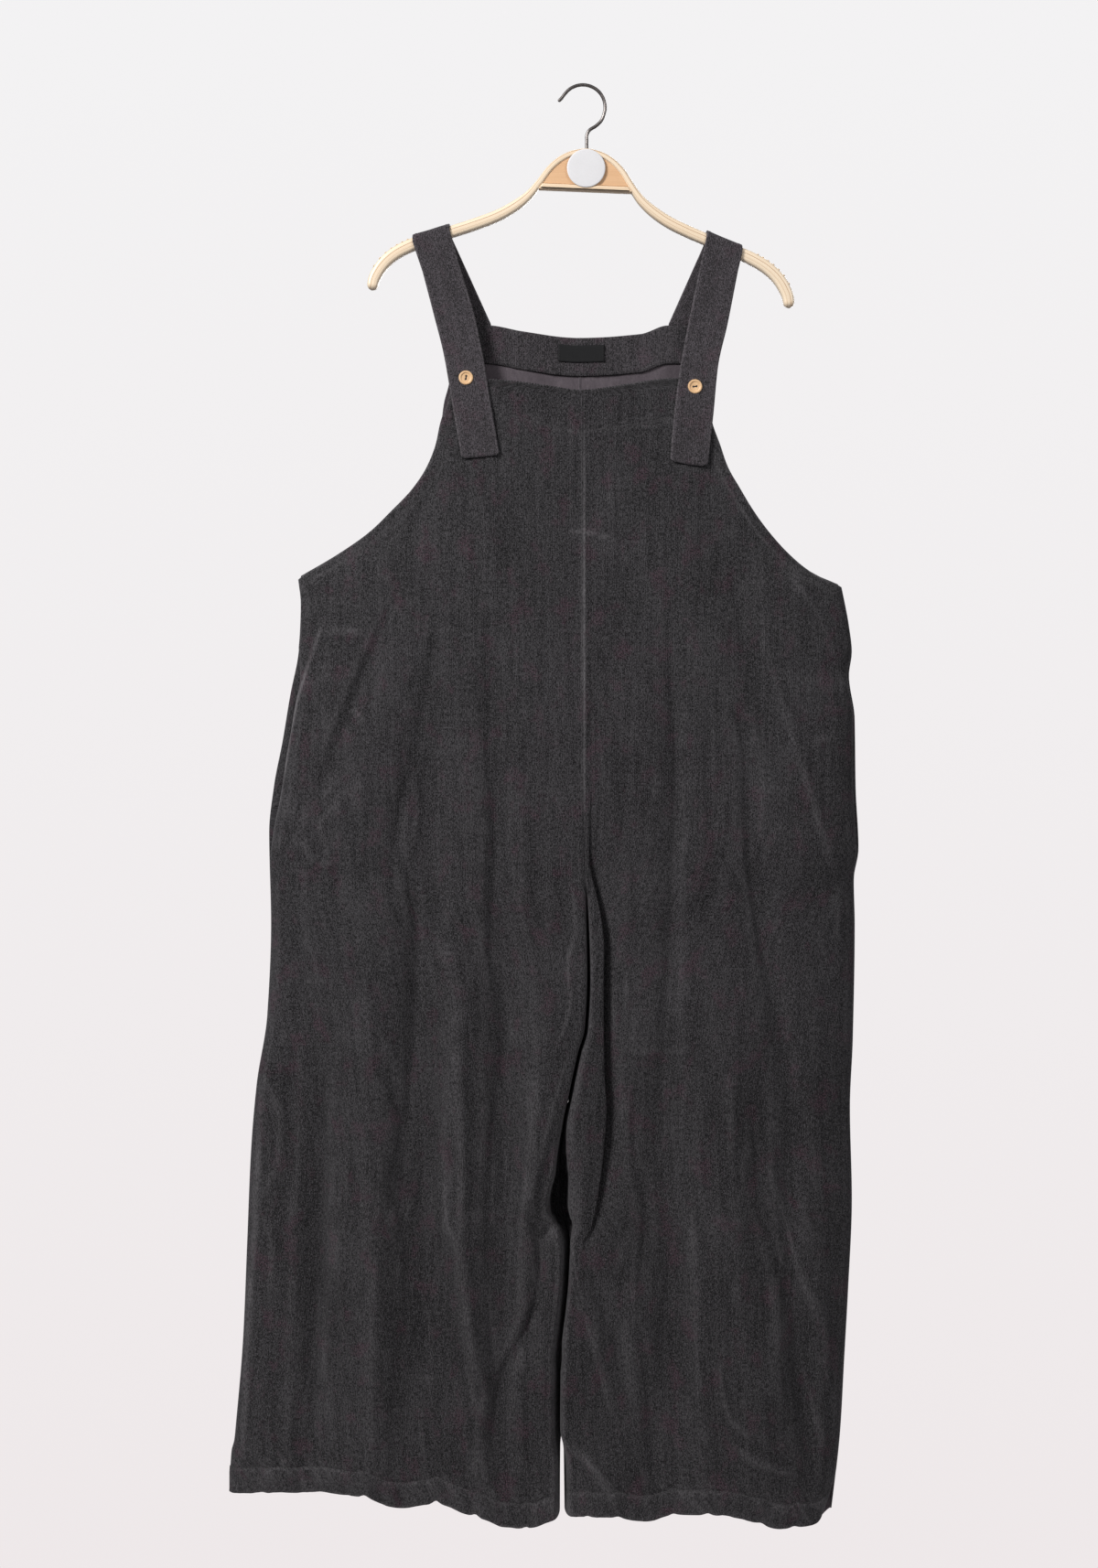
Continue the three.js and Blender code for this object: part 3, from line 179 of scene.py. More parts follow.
# Creases: height (a trough below 0), width to its left and right, then its points in picture pixels
SOFT_CREASES = {
    FRONT: [
        (-1.6, 7, 4, [(466, 543), (419, 685), (387, 771), (348, 874)]),
        (-2.4, 6, 4, [(458, 826), (436, 921), (450, 968), (458, 1031), (454, 1133), (446, 1228),
                      (439, 1346)]),
        (-1.9, 6, 4, [(533, 779), (541, 921), (537, 1031), (553, 1126), (545, 1189), (533, 1307),
                      (541, 1464)]),
        (1.6, 5, 7, [(498, 1110), (506, 1267), (502, 1385), (517, 1504), (533, 1598)]),
        (1.5, 5, 6, [(584, 1204), (576, 1299), (569, 1401)]),
        (-1.1, 4, 4, [(809, 795), (813, 913), (828, 1031), (852, 1133), (868, 1228)]),
        (-1.4, 6, 5, [(345, 876), (362, 900), (352, 940), (338, 990)]),
        (1.2, 6, 5, [(632, 1290), (640, 1380), (652, 1470), (642, 1560)]),
        (-1.5, 5, 4, [(600, 1350), (585, 1400), (577, 1450), (590, 1520)]),
        (-0.9, 5, 4, [(815, 1330), (835, 1420), (838, 1500)]),
        (2.2, 16, 16, [(600, 1110), (588, 1220), (578, 1300)]),
        (-3.4, 16, 9, [(320, 960), (330, 1060), (316, 1180), (310, 1400), (306, 1600)]),
        (1.5, 10, 12, [(372, 640), (360, 720), (350, 800)]),
    ],
    BACK: [
        (-1.8, 7, 5, [(440, 560), (420, 700), (400, 860), (392, 1000)]),
        (1.5, 6, 6, [(490, 1000), (500, 1180), (494, 1400)]),
        (1.4, 6, 6, [(700, 1080), (708, 1260), (700, 1480)]),
        (-1.2, 5, 5, [(356, 1100), (362, 1280), (352, 1480)]),
        (1.1, 4, 5, [(610, 980), (590, 1120), (580, 1260)]),
    ],
}
SHARP_CREASES = {
    FRONT: [
        # left half of the body
        (2.6, 16, 26, [(470, 560), (442, 615), (430, 645), (400, 710), (385, 745), (362, 800), (345, 850)]),
        (-2.2, 10, 8, [(480, 660), (475, 715), (455, 815), (440, 880), (428, 960), (436, 1010)]),
        (1.0, 3, 4, [(462, 815), (450, 850), (458, 878), (450, 930)]),
        (-0.9, 3, 3, [(505, 765), (507, 805)]),
        (-0.9, 3, 3, [(535, 845), (545, 885)]),
        (-0.8, 3, 3, [(540, 783), (541, 810)]),
        (1.0, 3, 2.5, [(350, 696), (372, 692), (398, 697)]),
        (1.8, 2.2, 3, [(353, 684), (347, 704), (334, 742), (326, 768), (321, 792)]),
        (-1.3, 2.5, 2.5, [(342, 700), (330, 736), (321, 762)]),
        (1.2, 3, 2, [(382, 776), (391, 779), (398, 790)]),
        (-1.1, 2.5, 3, [(359, 880), (374, 862), (387, 850)]),
        (1.2, 2.5, 2.5, [(334, 921), (342, 938), (355, 945), (368, 938)]),
        (-1.3, 3, 3, [(341, 905), (345, 925), (362, 930)]),
        (-1.2, 4, 3, [(330, 870), (326, 900), (312, 930)]),
        (-1.0, 3, 4, [(470, 1000), (467, 1070)]),
        (-1.2, 3, 3, [(410, 1070), (420, 1110), (438, 1150)]),
        (0.8, 2.5, 2.5, [(625, 968), (629, 1014), (620, 1052), (623, 1091), (607, 1145)]),
        (-0.8, 3, 3, [(625, 583), (640, 585), (670, 588)]),
        # left leg
        (-4.2, 34, 7, [(360, 1120), (356, 1200), (354, 1320), (346, 1480), (344, 1606)]),
        (3.4, 34, 26, [(420, 1240), (412, 1380), (409, 1490), (408, 1622)]),
        (-1.8, 9, 4, [(411, 1150), (432, 1195), (441, 1224), (435, 1275), (440, 1340)]),
        (3.0, 7, 12, [(486, 1230), (488, 1324), (504, 1362), (517, 1466), (530, 1518), (519, 1587),
                      (540, 1645)]),
        (1.6, 7, 5, [(290, 1176), (308, 1222), (306, 1268), (284, 1310)]),
        (-1.6, 4, 5, [(312, 1180), (322, 1240), (318, 1290), (298, 1330)]),
        (1.0, 4, 4, [(283, 1310), (300, 1370), (296, 1420)]),
        (3.6, 9, 9, [(606, 1195), (596, 1240), (584, 1290), (577, 1322)]),
        (-2.6, 3, 2.5, [(613, 1322), (603, 1336), (593, 1352)]),
        (-2.2, 2.5, 3, [(575, 1314), (583, 1338), (592, 1358)]),
        (-3.6, 4, 8, [(578, 1322), (589, 1350), (591, 1390), (574, 1445), (548, 1500), (536, 1560)]),
        (1.3, 3, 5, [(580, 1352), (586, 1392), (566, 1440), (540, 1490)]),
        (-0.9, 4, 4, [(420, 1290), (440, 1330), (446, 1370)]),
        (0.8, 3, 3, [(455, 1390), (470, 1430), (474, 1500)]),
        (-0.8, 3, 3, [(380, 1240), (392, 1290), (386, 1350)]),
        # right half of the body
        (-1.9, 3, 6, [(730, 670), (733, 760), (736, 880), (733, 960), (730, 1040), (727, 1110)]),
        (-0.9, 4, 3, [(772, 770), (771, 835), (776, 905), (780, 960)]),
        (-1.0, 4, 3, [(800, 640), (806, 665), (813, 694)]),
        (-1.5, 3, 5, [(800, 780), (812, 812), (815, 930), (822, 985), (829, 1020), (845, 1100)]),
        (1.6, 10, 6, [(838, 600), (865, 630), (893, 676), (914, 720)]),
        (-1.2, 5, 5, [(878, 650), (900, 690), (918, 716)]),
        (1.2, 9, 9, [(838, 712), (858, 790), (889, 880), (920, 972)]),
        (-1.2, 5, 4, [(850, 740), (864, 775), (882, 800)]),
        (1.2, 6, 4, [(873, 836), (895, 910), (917, 982)]),
        (0.9, 2.5, 2.5, [(886, 812), (912, 805)]),
        (0.9, 2.5, 3, [(911, 978), (914, 1000), (912, 1028)]),
        (-0.9, 3, 3, [(650, 768), (643, 800), (640, 830)]),
        (-0.8, 3, 3, [(690, 930), (694, 980), (688, 1040)]),
        # right leg
        (-1.6, 6, 4, [(725, 1080), (722, 1186), (730, 1240)]),
        (-2.6, 22, 6, [(694, 1440), (706, 1500), (712, 1560), (716, 1630)]),
        (2.0, 12, 20, [(752, 1240), (756, 1360), (760, 1480), (764, 1600)]),
        (-2.0, 6, 5, [(693, 1190), (690, 1245), (705, 1327), (699, 1390), (706, 1440)]),
        (1.2, 4, 5, [(796, 1172), (797, 1276)]),
        (-1.0, 4, 3, [(762, 1310), (766, 1360)]),
        (2.4, 12, 9, [(832, 1262), (852, 1315), (875, 1398), (899, 1447), (906, 1500)]),
        (-1.8, 8, 5, [(826, 1300), (842, 1360), (858, 1420)]),
        (1.4, 5, 6, [(864, 1452), (880, 1510), (893, 1564)]),
        (1.3, 4, 4, [(784, 1484), (793, 1539), (822, 1570)]),
        (1.3, 4, 3, [(793, 1566), (824, 1590), (860, 1604)]),
        (-1.2, 4, 4, [(800, 1556), (830, 1578), (862, 1590)]),
        (3.0, 5, 10, [(627, 1362), (636, 1410), (650, 1462), (668, 1540)]),
        (-2.6, 6, 5, [(648, 1390), (668, 1450), (686, 1530)]),
        (2.8, 3, 6, [(619, 1572), (640, 1588), (660, 1618), (675, 1642)]),
        (-0.8, 4, 4, [(745, 1400), (750, 1470), (742, 1530)]),
        # small folds that run up from the hem
        (-2.6, 3, 5, [(272, 1592), (284, 1602), (303, 1628)]), (-2.4, 3, 5, [(336, 1602), (358, 1630)]),
        (-2.4, 3, 5, [(372, 1612), (398, 1642)]), (-1.4, 3, 3, [(436, 1618), (446, 1634)]),
        (-2.4, 3, 5, [(462, 1612), (484, 1648)]), (-1.6, 3, 3, [(512, 1628), (524, 1652)]),
        (1.2, 4, 4, [(520, 1560), (530, 1600), (545, 1638)]), (-1.5, 3, 3, [(566, 1634), (580, 1660)]),
        (-1.5, 3, 3, [(632, 1636), (648, 1652)]), (-2.2, 3, 5, [(690, 1630), (712, 1654)]),
        (-1.5, 3, 3, [(730, 1636), (744, 1652)]), (-2.4, 3, 5, [(770, 1628), (796, 1656)]),
        (-1.5, 3, 3, [(838, 1636), (860, 1664)]), (-1.4, 3, 3, [(880, 1638), (894, 1662)]),
    ],
    BACK: [
        (-2.2, 7, 9, [(560, 760), (548, 930), (556, 1100), (544, 1260)]),
        (-2.4, 7, 9, [(752, 700), (746, 900), (752, 1120), (744, 1320)]),
        (-1.6, 6, 5, [(842, 720), (850, 900), (862, 1100)]),
        (-1.3, 5, 4, [(660, 960), (672, 1100), (664, 1240)]),
        (2.2, 18, 22, [(430, 1150), (424, 1350), (430, 1600)]),
        (-2.6, 26, 7, [(820, 1150), (826, 1350), (818, 1620)]),
        (1.4, 8, 6, [(400, 600), (372, 700), (356, 800)]),
        (1.4, 6, 8, [(838, 620), (872, 690), (896, 790)]),
        (-1.5, 3, 3, [(330, 1600), (346, 1622)]), (-1.6, 3, 3, [(420, 1612), (438, 1636)]),
        (-1.6, 3, 3, [(520, 1620), (536, 1645)]), (-1.5, 3, 3, [(650, 1636), (664, 1652)]),
        (-1.6, 3, 3, [(720, 1630), (738, 1652)]), (-1.5, 3, 3, [(850, 1630), (866, 1656)]),
    ],
}
SHARP_TIP = 1.5
SHARP_STRENGTH = 1.5
# Many short, faint creases scattered over each panel
SCATTERED = 150
# Lighter lines on the front, real wear and painted highlight along ridges: strength, width, points in
# picture pixels
WORN_AND_HIGHLIGHT_LINES = [
    (0.4, 1.7, [(540, 452), (588, 463), (635, 472.5), (690, 466), (733, 457.7)]),
    (0.8, 4, [(287, 1176), (281, 1300), (275, 1400), (270, 1500), (266, 1590)]),
    (0.6, 2, [(488, 1240), (489, 1324), (504, 1362), (517, 1466), (530, 1518), (519, 1587)]),
    (0.3, 3, [(596, 1240), (584, 1290), (577, 1322)]),
    (0.5, 1.6, [(620, 1240), (624, 1330), (628, 1380), (640, 1430), (654, 1480), (668, 1540)]),
    (0.5, 2, [(852, 1315), (875, 1398), (899, 1447)]),
    (0.3, 2, [(865, 630), (893, 676), (914, 720)]),
    (0.3, 2, [(442, 615), (430, 645), (400, 710), (385, 745)]),
    (1.6, 1.7, [(352, 690), (347, 704), (334, 742), (325, 772), (316, 820.7), (311, 854), (301.6, 902),
                (298, 923)]),
    (1.3, 1.9, [(637.3, 474), (637.5, 885)]),
    (0.8, 1.5, [(625, 968), (629, 1014), (620, 1052), (623, 1091), (607, 1145)]),
    (0.5, 1.6, [(620, 1150), (606, 1200)]),
    (0.85, 2, [(622, 582), (645, 584), (671, 592)]),
    (0.6, 2.5, [(608, 1330), (595, 1350)]),
    (0.6, 2.5, [(576, 1330), (592, 1364), (590, 1388), (584, 1417)]),
    (0.5, 2.5, [(372, 690), (400, 692)]),
    (0.45, 2.5, [(372, 880), (352, 900), (362, 940)]),
    (0.45, 2.5, [(385, 862), (392, 880)]),
    (0.55, 3, [(624, 1567), (671, 1622)]),
    (0.4, 3, [(820, 1590), (860, 1606)]),
    (0.5, 1.6, [(651, 1109), (641, 1121)]),
    (0.35, 3, [(533, 1390), (541, 1464), (545, 1504)]),
]


def curve(rows, value=1):
    """A smooth function through a table's rows, keyed by their first column, that doesn't overshoot."""
    rows = sorted(rows)
    keys = np.array([row[0] for row in rows], float)
    values = np.array([row[value] for row in rows], float)
    slope = np.diff(values) / np.diff(keys)
    tangent = np.zeros(len(keys))
    tangent[0], tangent[-1] = slope[0], slope[-1]
    product, total = slope[:-1] * slope[1:], slope[:-1] + slope[1:]
    tangent[1:-1] = np.where(product > 0, 2 * product / np.where(total == 0, 1, total), 0)

    def at(x):
        x = np.clip(x, keys[0], keys[-1])
        i = np.clip(np.searchsorted(keys, x, side="right") - 1, 0, len(keys) - 2)
        span = keys[i + 1] - keys[i]
        t = (x - keys[i]) / span
        start = (1 + 2 * t) * (1 - t) ** 2 * values[i] + t * (1 - t) ** 2 * span * tangent[i]
        end = t * t * (3 - 2 * t) * values[i + 1] + t * t * (t - 1) * span * tangent[i + 1]
        return start + end

    return at


def mix(a, b, share):
    return a + (b - a) * share


def smooth(a, b, x):
    t = np.clip((x - a) / (b - a), 0, 1)
    return t * t * (3 - 2 * t)


PICTURE_SCALE = 0.955


def from_picture(points):
    """Picture pixels to x and z in millimetres."""
    return np.array([((px - 633) * PICTURE_SCALE, (95 - py) * PICTURE_SCALE) for px, py in points], float)


def resample(points, spacing):
    """Points of a polyline made smooth and evenly spaced."""
    points = np.asarray(points, float)
    steps = np.linalg.norm(np.diff(points, axis=0), axis=1)
    along = np.concatenate([[0], np.cumsum(steps)])
    count = max(2, int(round(along[-1] / spacing)) + 1)
    at = np.linspace(0, along[-1], count)
    if len(points) == 2:
        return mix(points[0], points[1], (at / along[-1])[:, None])
    columns = [curve(list(zip(along, points[:, k])))(at) for k in range(points.shape[1])]
    return np.stack(columns, axis=1)


def line_distance(points, x, z):
    """Signed distance to a polyline (above 0 on its right going down) and the share along it."""
    best = np.full(x.shape, 1e9)
    signed = np.zeros(x.shape)
    share = np.zeros(x.shape)
    steps = np.linalg.norm(np.diff(points, axis=0), axis=1)
    along = np.concatenate([[0], np.cumsum(steps)])
    for i in range(len(points) - 1):
        (ax, az), (bx, bz) = points[i], points[i + 1]
        dx, dz = bx - ax, bz - az
        t = np.clip(((x - ax) * dx + (z - az) * dz) / (dx * dx + dz * dz), 0, 1)
        offx, offz = x - ax - t * dx, z - az - t * dz
        distance = np.hypot(offx, offz)
        nearer = distance < best
        best = np.where(nearer, distance, best)
        signed = np.where(nearer, np.sign(dx * offz - dz * offx) * distance, signed)
        share = np.where(nearer, (along[i] + t * steps[i]) / along[-1], share)
    return signed, share


def crease(points, left, right, x, z, sharp=False):
    """A trough or ridge along a line, 1 at its middle, thinning out at its ends. A sharp one has an edge."""
    total = np.zeros(x.shape)
    reach = (5 if sharp else 3) * max(left, right)
    low, high = points.min(axis=0) - reach, points.max(axis=0) + reach
    near = (x > low[0]) & (x < high[0]) & (z > low[1]) & (z < high[1])
    if near.any():
        signed, share = line_distance(points, x[near], z[near])
        width = np.where(signed > 0, right, left)
        taper = np.sin(np.pi * np.clip(0.04 + 0.92 * share, 0, 1)) ** 0.6
        if sharp:
            form = np.exp(-(np.hypot(signed, SHARP_TIP) - SHARP_TIP) / width)
        else:
            form = np.exp(-((signed / width) ** 2))
        total[near] = taper * form
    return total


def value_noise(x, z, seed):
    """Smooth noise from -1 to 1 with cells one unit wide."""
    size = 128
    table = np.random.RandomState(seed).uniform(-1, 1, (size, size))
    xi, zi = np.floor(x).astype(int), np.floor(z).astype(int)
    u, v = x - xi, z - zi
    u, v = u * u * (3 - 2 * u), v * v * (3 - 2 * v)
    a, b = table[xi % size, zi % size], table[(xi + 1) % size, zi % size]
    c, d = table[xi % size, (zi + 1) % size], table[(xi + 1) % size, (zi + 1) % size]
    return mix(mix(a, b, u), mix(c, d, u), v)


# Curves of the outline and depth
outline_above = {}
outline_below = {side: curve(SIDE_BELOW[side]) for side in SIDE_NAMES}
for (face_, side_), top_rows in BIB_TOP_SIDE.items():
    outline_above[face_, side_] = curve([*top_rows, *ARMHOLE[side_], CORNER[side_]])
mouth_inset = {side: curve(MOUTH_INSET[side]) for side in SIDE_NAMES}
seam_x = {face: curve(SEAM[face]) for face in FACE_NAMES}
leg_gap, leg_parting = curve(LEG_GAP), curve(LEG_PARTING)
free_edge = {side: curve(FREE_EDGE[side]) for side in SIDE_NAMES}
full_depth = {FRONT: curve(DEPTH, 1), BACK: curve(DEPTH, 2)}
valley_share = {face: curve(VALLEY[face]) for face in FACE_NAMES}
cliff_reach = {side: curve(CLIFF[side], 1) for side in SIDE_NAMES}
cliff_share = {side: curve(CLIFF[side], 2) for side in SIDE_NAMES}
leg_shear, back_aside = curve(LEG_SHEAR), curve(BACK_ASIDE)
lap_edge, lap_drop = curve(LAP_FOLD, 1), curve(LAP_FOLD, 2)
lap_x, lap_share = curve(LAP_SECTION, 1), curve(LAP_SECTION, 2)
top_edge = {face: curve(TOP_EDGE[face]) for face in FACE_NAMES}
plain_hem = {side: curve(HEM_EDGE[side]) for side in SIDE_NAMES}


def outline_x(side, face, z):
    return np.where(z > CORNER[side][0], outline_above[face, side](z), outline_below[side](z))


def outer_x(side, face, z):
    inset = mouth_inset[side](z) if face == FRONT else 0
    return outline_x(side, face, z) - side * inset


def inner_x(side, face, z):
    parting = SEAM_PARTING + VALLEY_PARTING * np.minimum(1, 3 * valley_share[face](z))
    line = np.where(z >= CROTCH, seam_x[face](z) + side * parting, leg_gap(z) + side * leg_parting(z))
    return line + back_aside(z) if face == BACK else line


def hem_edge(side, x):
    """Height of a leg's lower edge, scalloped by the puckers of its hem."""
    total = plain_hem[side](x) + 0.8 * value_noise(x / 12, x * 0, 61 + side)
    for at, rise, width in HEM_NOTCHES[side]:
        total = total + rise * np.exp(-(((x - at) / width) ** 2))
    return total


def large_folds(face, x, z):
    total = np.zeros(x.shape)
    for x1, z1, x2, _, x3, z3, width, height in FOLDS[face]:
        top, bottom = max(z1, z3), min(z1, z3)
        along = (z - top) / (bottom - top)
        t = np.clip(along, 0, 1)
        line = mix(x1, x3, t) + 4 * (x2 - (x1 + x3) / 2) * t * (1 - t)
        taper = np.sin(np.pi * np.clip((along + 0.15) / 1.3, 0, 1)) ** 0.6
        total += height * taper * np.exp(-(((x - line) / width) ** 2))
    return total


ARMHOLE_HEM = 11
LEG_HEM = 24
TICK_SPACING = 3.1
FRONT_FACING_LINE = [(497, 447), (540, 452), (588, 463), (635, 472.5), (690, 466), (733, 457.7), (776, 452)]
facing_line = resample(from_picture(FRONT_FACING_LINE), 8)


def armhole_line(side, face):
    """The armhole's edge as points (x, z), from the top down to the underarm."""
    heights = np.linspace(BIB_TOP_SIDE[face, side][0][0], CORNER[side][0], 40)
    return np.stack([outline_x(side, face, heights), heights], axis=1)


def edge_ripple(x):
    """Ripple of the wales where they bend over the bib's turned top edge, -1 to 1."""
    wave = np.sin(2 * np.pi * x / TICK_SPACING + 1.5 * value_noise(x / 9, x * 0, 47))
    return wave * (0.65 + 0.35 * value_noise(x / 5, x * 0, 48))


def sewn_relief(side, face, x, z):
    """Doubled cloth at the turned edges, with the dimple and puckers of their stitching."""
    relief = np.zeros(x.shape)
    from_hem = z - hem_edge(side, x)
    seed = side + face
    near_hem = np.exp(-((from_hem - LEG_HEM / 2) / 20) ** 2)
    relief += 0.6 * smooth(LEG_HEM + 1.5, LEG_HEM - 1.5, from_hem)
    relief -= 1.5 * np.exp(-(((from_hem - LEG_HEM) / 2.0) ** 2))
    relief += 1.5 * near_hem * value_noise(x / 12 + from_hem / 24, from_hem / 40, 11 + seed)
    ropes = value_noise(x / 7 + from_hem / 11, from_hem / 26, 21 + seed)
    relief += 4.6 * near_hem * (0.4 - np.abs(ropes)) * (0.6 + 0.4 * value_noise(x / 40, x * 0, 23 + seed))
    in_bib = z > UNDERARM - 15
    if in_bib.any():
        signed, _ = line_distance(armhole_line(side, face), x[in_bib], z[in_bib])
        away = np.abs(signed)
        bib = 0.6 * smooth(ARMHOLE_HEM + 1.2, ARMHOLE_HEM - 1.2, away)
        bib -= 0.8 * np.exp(-(((away - ARMHOLE_HEM) / 1.3) ** 2))
        along = z[in_bib] / 9
        bib += 0.5 * np.exp(-((away / 14) ** 2)) * value_noise(along, away / 14, 31 + seed)
        if face == FRONT:
            signed, _ = line_distance(facing_line, x[in_bib], z[in_bib])
            over = z[in_bib] > np.interp(x[in_bib], facing_line[:, 0], facing_line[:, 1])
            below = np.where(over, -1, 1) * np.abs(signed)
            bib += 0.5 * smooth(1.2, -1.2, below)
            bib -= 1.0 * np.exp(-((signed / 1.9) ** 2))
            pucker = value_noise(x[in_bib] / 7, z[in_bib] / 30, 41)
            bib += 0.7 * np.exp(-((signed / 15) ** 2)) * pucker
            bib += 0.4 * smooth(4, -8, below) * value_noise(x[in_bib] / 10, z[in_bib] / 55, 43)
            from_top = top_edge[FRONT](x[in_bib]) - z[in_bib]
            bib += 0.55 * np.exp(-((from_top / 5) ** 2)) * edge_ripple(x[in_bib])
        relief[in_bib] += bib
    return relief


def uneven(face, x, z):
    """The cloth's own unevenness: long soft streaks down the wales and small ripples."""
    seed = 51 if face == FRONT else 71
    lower = smooth(-500, -1100, z)
    long_ = value_noise(x / 34, z / 260, seed) * mix(0.8, 2.3, lower)
    middle = value_noise(x / 15 + z / 900, z / 120, seed + 1) * mix(0.4, 1.15, lower)
    small = 0.22 * value_noise(x / 6, z / 26, seed + 2) + 0.16 * value_noise(x / 11, z / 9, seed + 3)
    return long_ + middle + small


def scattered_creases(face):
    """Short faint creases, mostly upright, in the cloth between the main ones."""
    random = np.random.RandomState(131 if face == FRONT else 137)
    made = []
    for _ in range(SCATTERED):
        x, z = random.uniform(-330, 280), random.uniform(-1440, -400)
        length, lean = random.uniform(14, 60), random.normal(0, 0.28)
        bend = random.normal(0, 0.08) * length
        height = random.choice([-1, 1]) * random.uniform(0.25, 0.9)
        left, right = random.uniform(1.8, 5, 2)
        line = [(x, z), (x + lean * length / 2 + bend, z - length / 2), (x + lean * length, z - length)]
        made.append((height, left, right, resample(line, 10), True))
    return made


def crease_lines(face):
    """All creases of a face: height, widths, points in millimetres, and whether it is sharp."""
    made = scattered_creases(face)
    for table, sharp in ((SOFT_CREASES, False), (SHARP_CREASES, True)):
        for height, left, right, points in table[face]:
            height = height * SHARP_STRENGTH if sharp else height
            made.append((height, left, right, resample(from_picture(points), 14), sharp))
    return made


all_creases = {face: crease_lines(face) for face in FACE_NAMES}


def cliff(side, from_inner, z):
    """Share of the depth that is left beside the inner edge, where the cloth is drawn in."""
    t = np.clip((from_inner - cliff_reach[side](z)) / CLIFF_ROUND, 0, 1)
    return 1 - cliff_share[side](z) * (1 - np.sqrt(1 - (1 - t) ** 2))


def stand_off(side, face, x, z, fine=True, under=None):
    """How far a panel's middle surface stands from the middle plane. under is the share of the lap
    fold's drop at each point; without it the fold is a plain step."""
    inner, outer = inner_x(side, face, z), outer_x(side, face, z)
    u = np.clip((x - inner) / (outer - inner), 0, 1)
    full = full_depth[face](z)
    edge = free_edge[side](z)
    if face == BACK:
        edge = np.where(z < UNDERARM - 10, 0.1, edge)
    leg_share = smooth(-CROTCH, -LEG_START, -z)
    in_bib = smooth(UNDERARM - 30, UNDERARM + 90, z)
    torso = (1 - u ** 4) ** mix(0.5, 1.0, in_bib)
    from_inner, from_outer = np.abs(x - inner), np.abs(outer - x)
    leg_turn = np.sqrt(1 - (1 - np.minimum(1, from_inner / LEG_ROUND)) ** 2)
    shape = torso * mix(1, leg_turn, leg_share)
    soft_edge = smooth(0, 30, from_inner) * smooth(0, 30, from_outer)
    off = edge + (full - edge) * shape + large_folds(face, x, z) * soft_edge
    if fine:
        near_edge = smooth(0, 8, from_inner) * smooth(0, 12, from_outer)
        extra = uneven(face, x, z)
        for height, left, right, points, sharp in all_creases[face]:
            extra = extra + height * crease(points, left, right, x, z, sharp)
        off = off + extra * near_edge
        off = off + sewn_relief(side, face, x, z) * smooth(0, 3, from_outer)
        felled = smooth(7.5, 6.5, from_inner) * smooth(-CROTCH - 10, -CROTCH - 60, -z)
        off = off + 0.4 * felled - 0.7 * np.exp(-((from_inner / 0.9) ** 2))
    valley = (1 - leg_share) * valley_share[face](z) * full
    off = off - valley * np.exp(-((from_inner / VALLEY_WIDTH[face]) ** 2))
    if face == FRONT:
        off = off * cliff(side, from_inner, z)
        if side == RIGHT:
            beyond = x - lap_edge(z)
            if under is None:
                under = smooth(-2, 2, beyond)
            off = off - lap_drop(z) * under * np.exp(-np.maximum(0, beyond) / LAP_FALLOFF)
    return np.maximum(off, 0.1)


# Grid of a panel: columns by millimetres beside its edges and by shares between them
INNER_OFFSETS = np.array([0, 0.3, 0.6, 0.9, 1.3, 1.8, 2.4, 3.2, 4.2, 5.5, 7, 9, 11, 13])
OUTER_OFFSETS = np.array([16, 14, 12.6, 11.6, 10.8, 10, 9, 7.5, 6, 4.5, 3.2, 2, 1.1, 0.5, 0.15, 0])
MIDDLE_COLUMNS = {FRONT: 122, BACK: 84}
BAND_COLUMNS = 12
LAP_COLUMNS = 32
FINE_ROW, COARSE_ROW = 1.9, {FRONT: 4.7, BACK: 5.6}
TOP_FADE, HEM_FADE = 80, 134
LAST_ROW = -1484
# Rows of the bib: height at the centre, then at the side
BIB_ROWS = {
    (FRONT, LEFT): [(-318, -306), (-345, -329), (-372, -351), (-398, -374), (-424, -399), (-448, -424),
                    (-470, -449), (-490, -473), (-508, -494), (-522, -512.5), (-545, -545), (-1484, -1484)],
    (FRONT, RIGHT): [(-318, -308), (-345, -333), (-372, -360), (-398, -386), (-424, -411), (-448, -436),
                     (-470, -460), (-490, -485), (-508, -505), (-522, -521), (-545, -545), (-1484, -1484)],
    (BACK, LEFT): [(-261, -246), (-300, -285), (-350, -333), (-404, -382), (-452, -430), (-493, -475),
                   (-522, -512.5), (-545, -545), (-1484, -1484)],
    (BACK, RIGHT): [(-261, -248), (-300, -287), (-350, -338), (-404, -391), (-452, -440), (-493, -487),
                    (-522, -521), (-545, -545), (-1484, -1484)],
}


def lap_columns(z):
    """Columns of the fold that laps over: x of each, and the share of the fold's drop there."""
    edge = lap_edge(z)
    near = np.minimum(LAP_REACH, LAP_ROOM * (edge - inner_x(RIGHT, FRONT, z)))
    folded = np.minimum(1, lap_drop(z) / LAP_FULL_DROP)
    columns = []
    for share in np.linspace(0, 1, LAP_COLUMNS):
        plain = mix(edge - near, edge + LAP_REACH, share)
        across = float(lap_x(share))
        scale = near / LAP_REACH if across < 0 else 1
        columns.append((mix(plain, edge + across * scale, folded), float(lap_share(share))))
    return columns


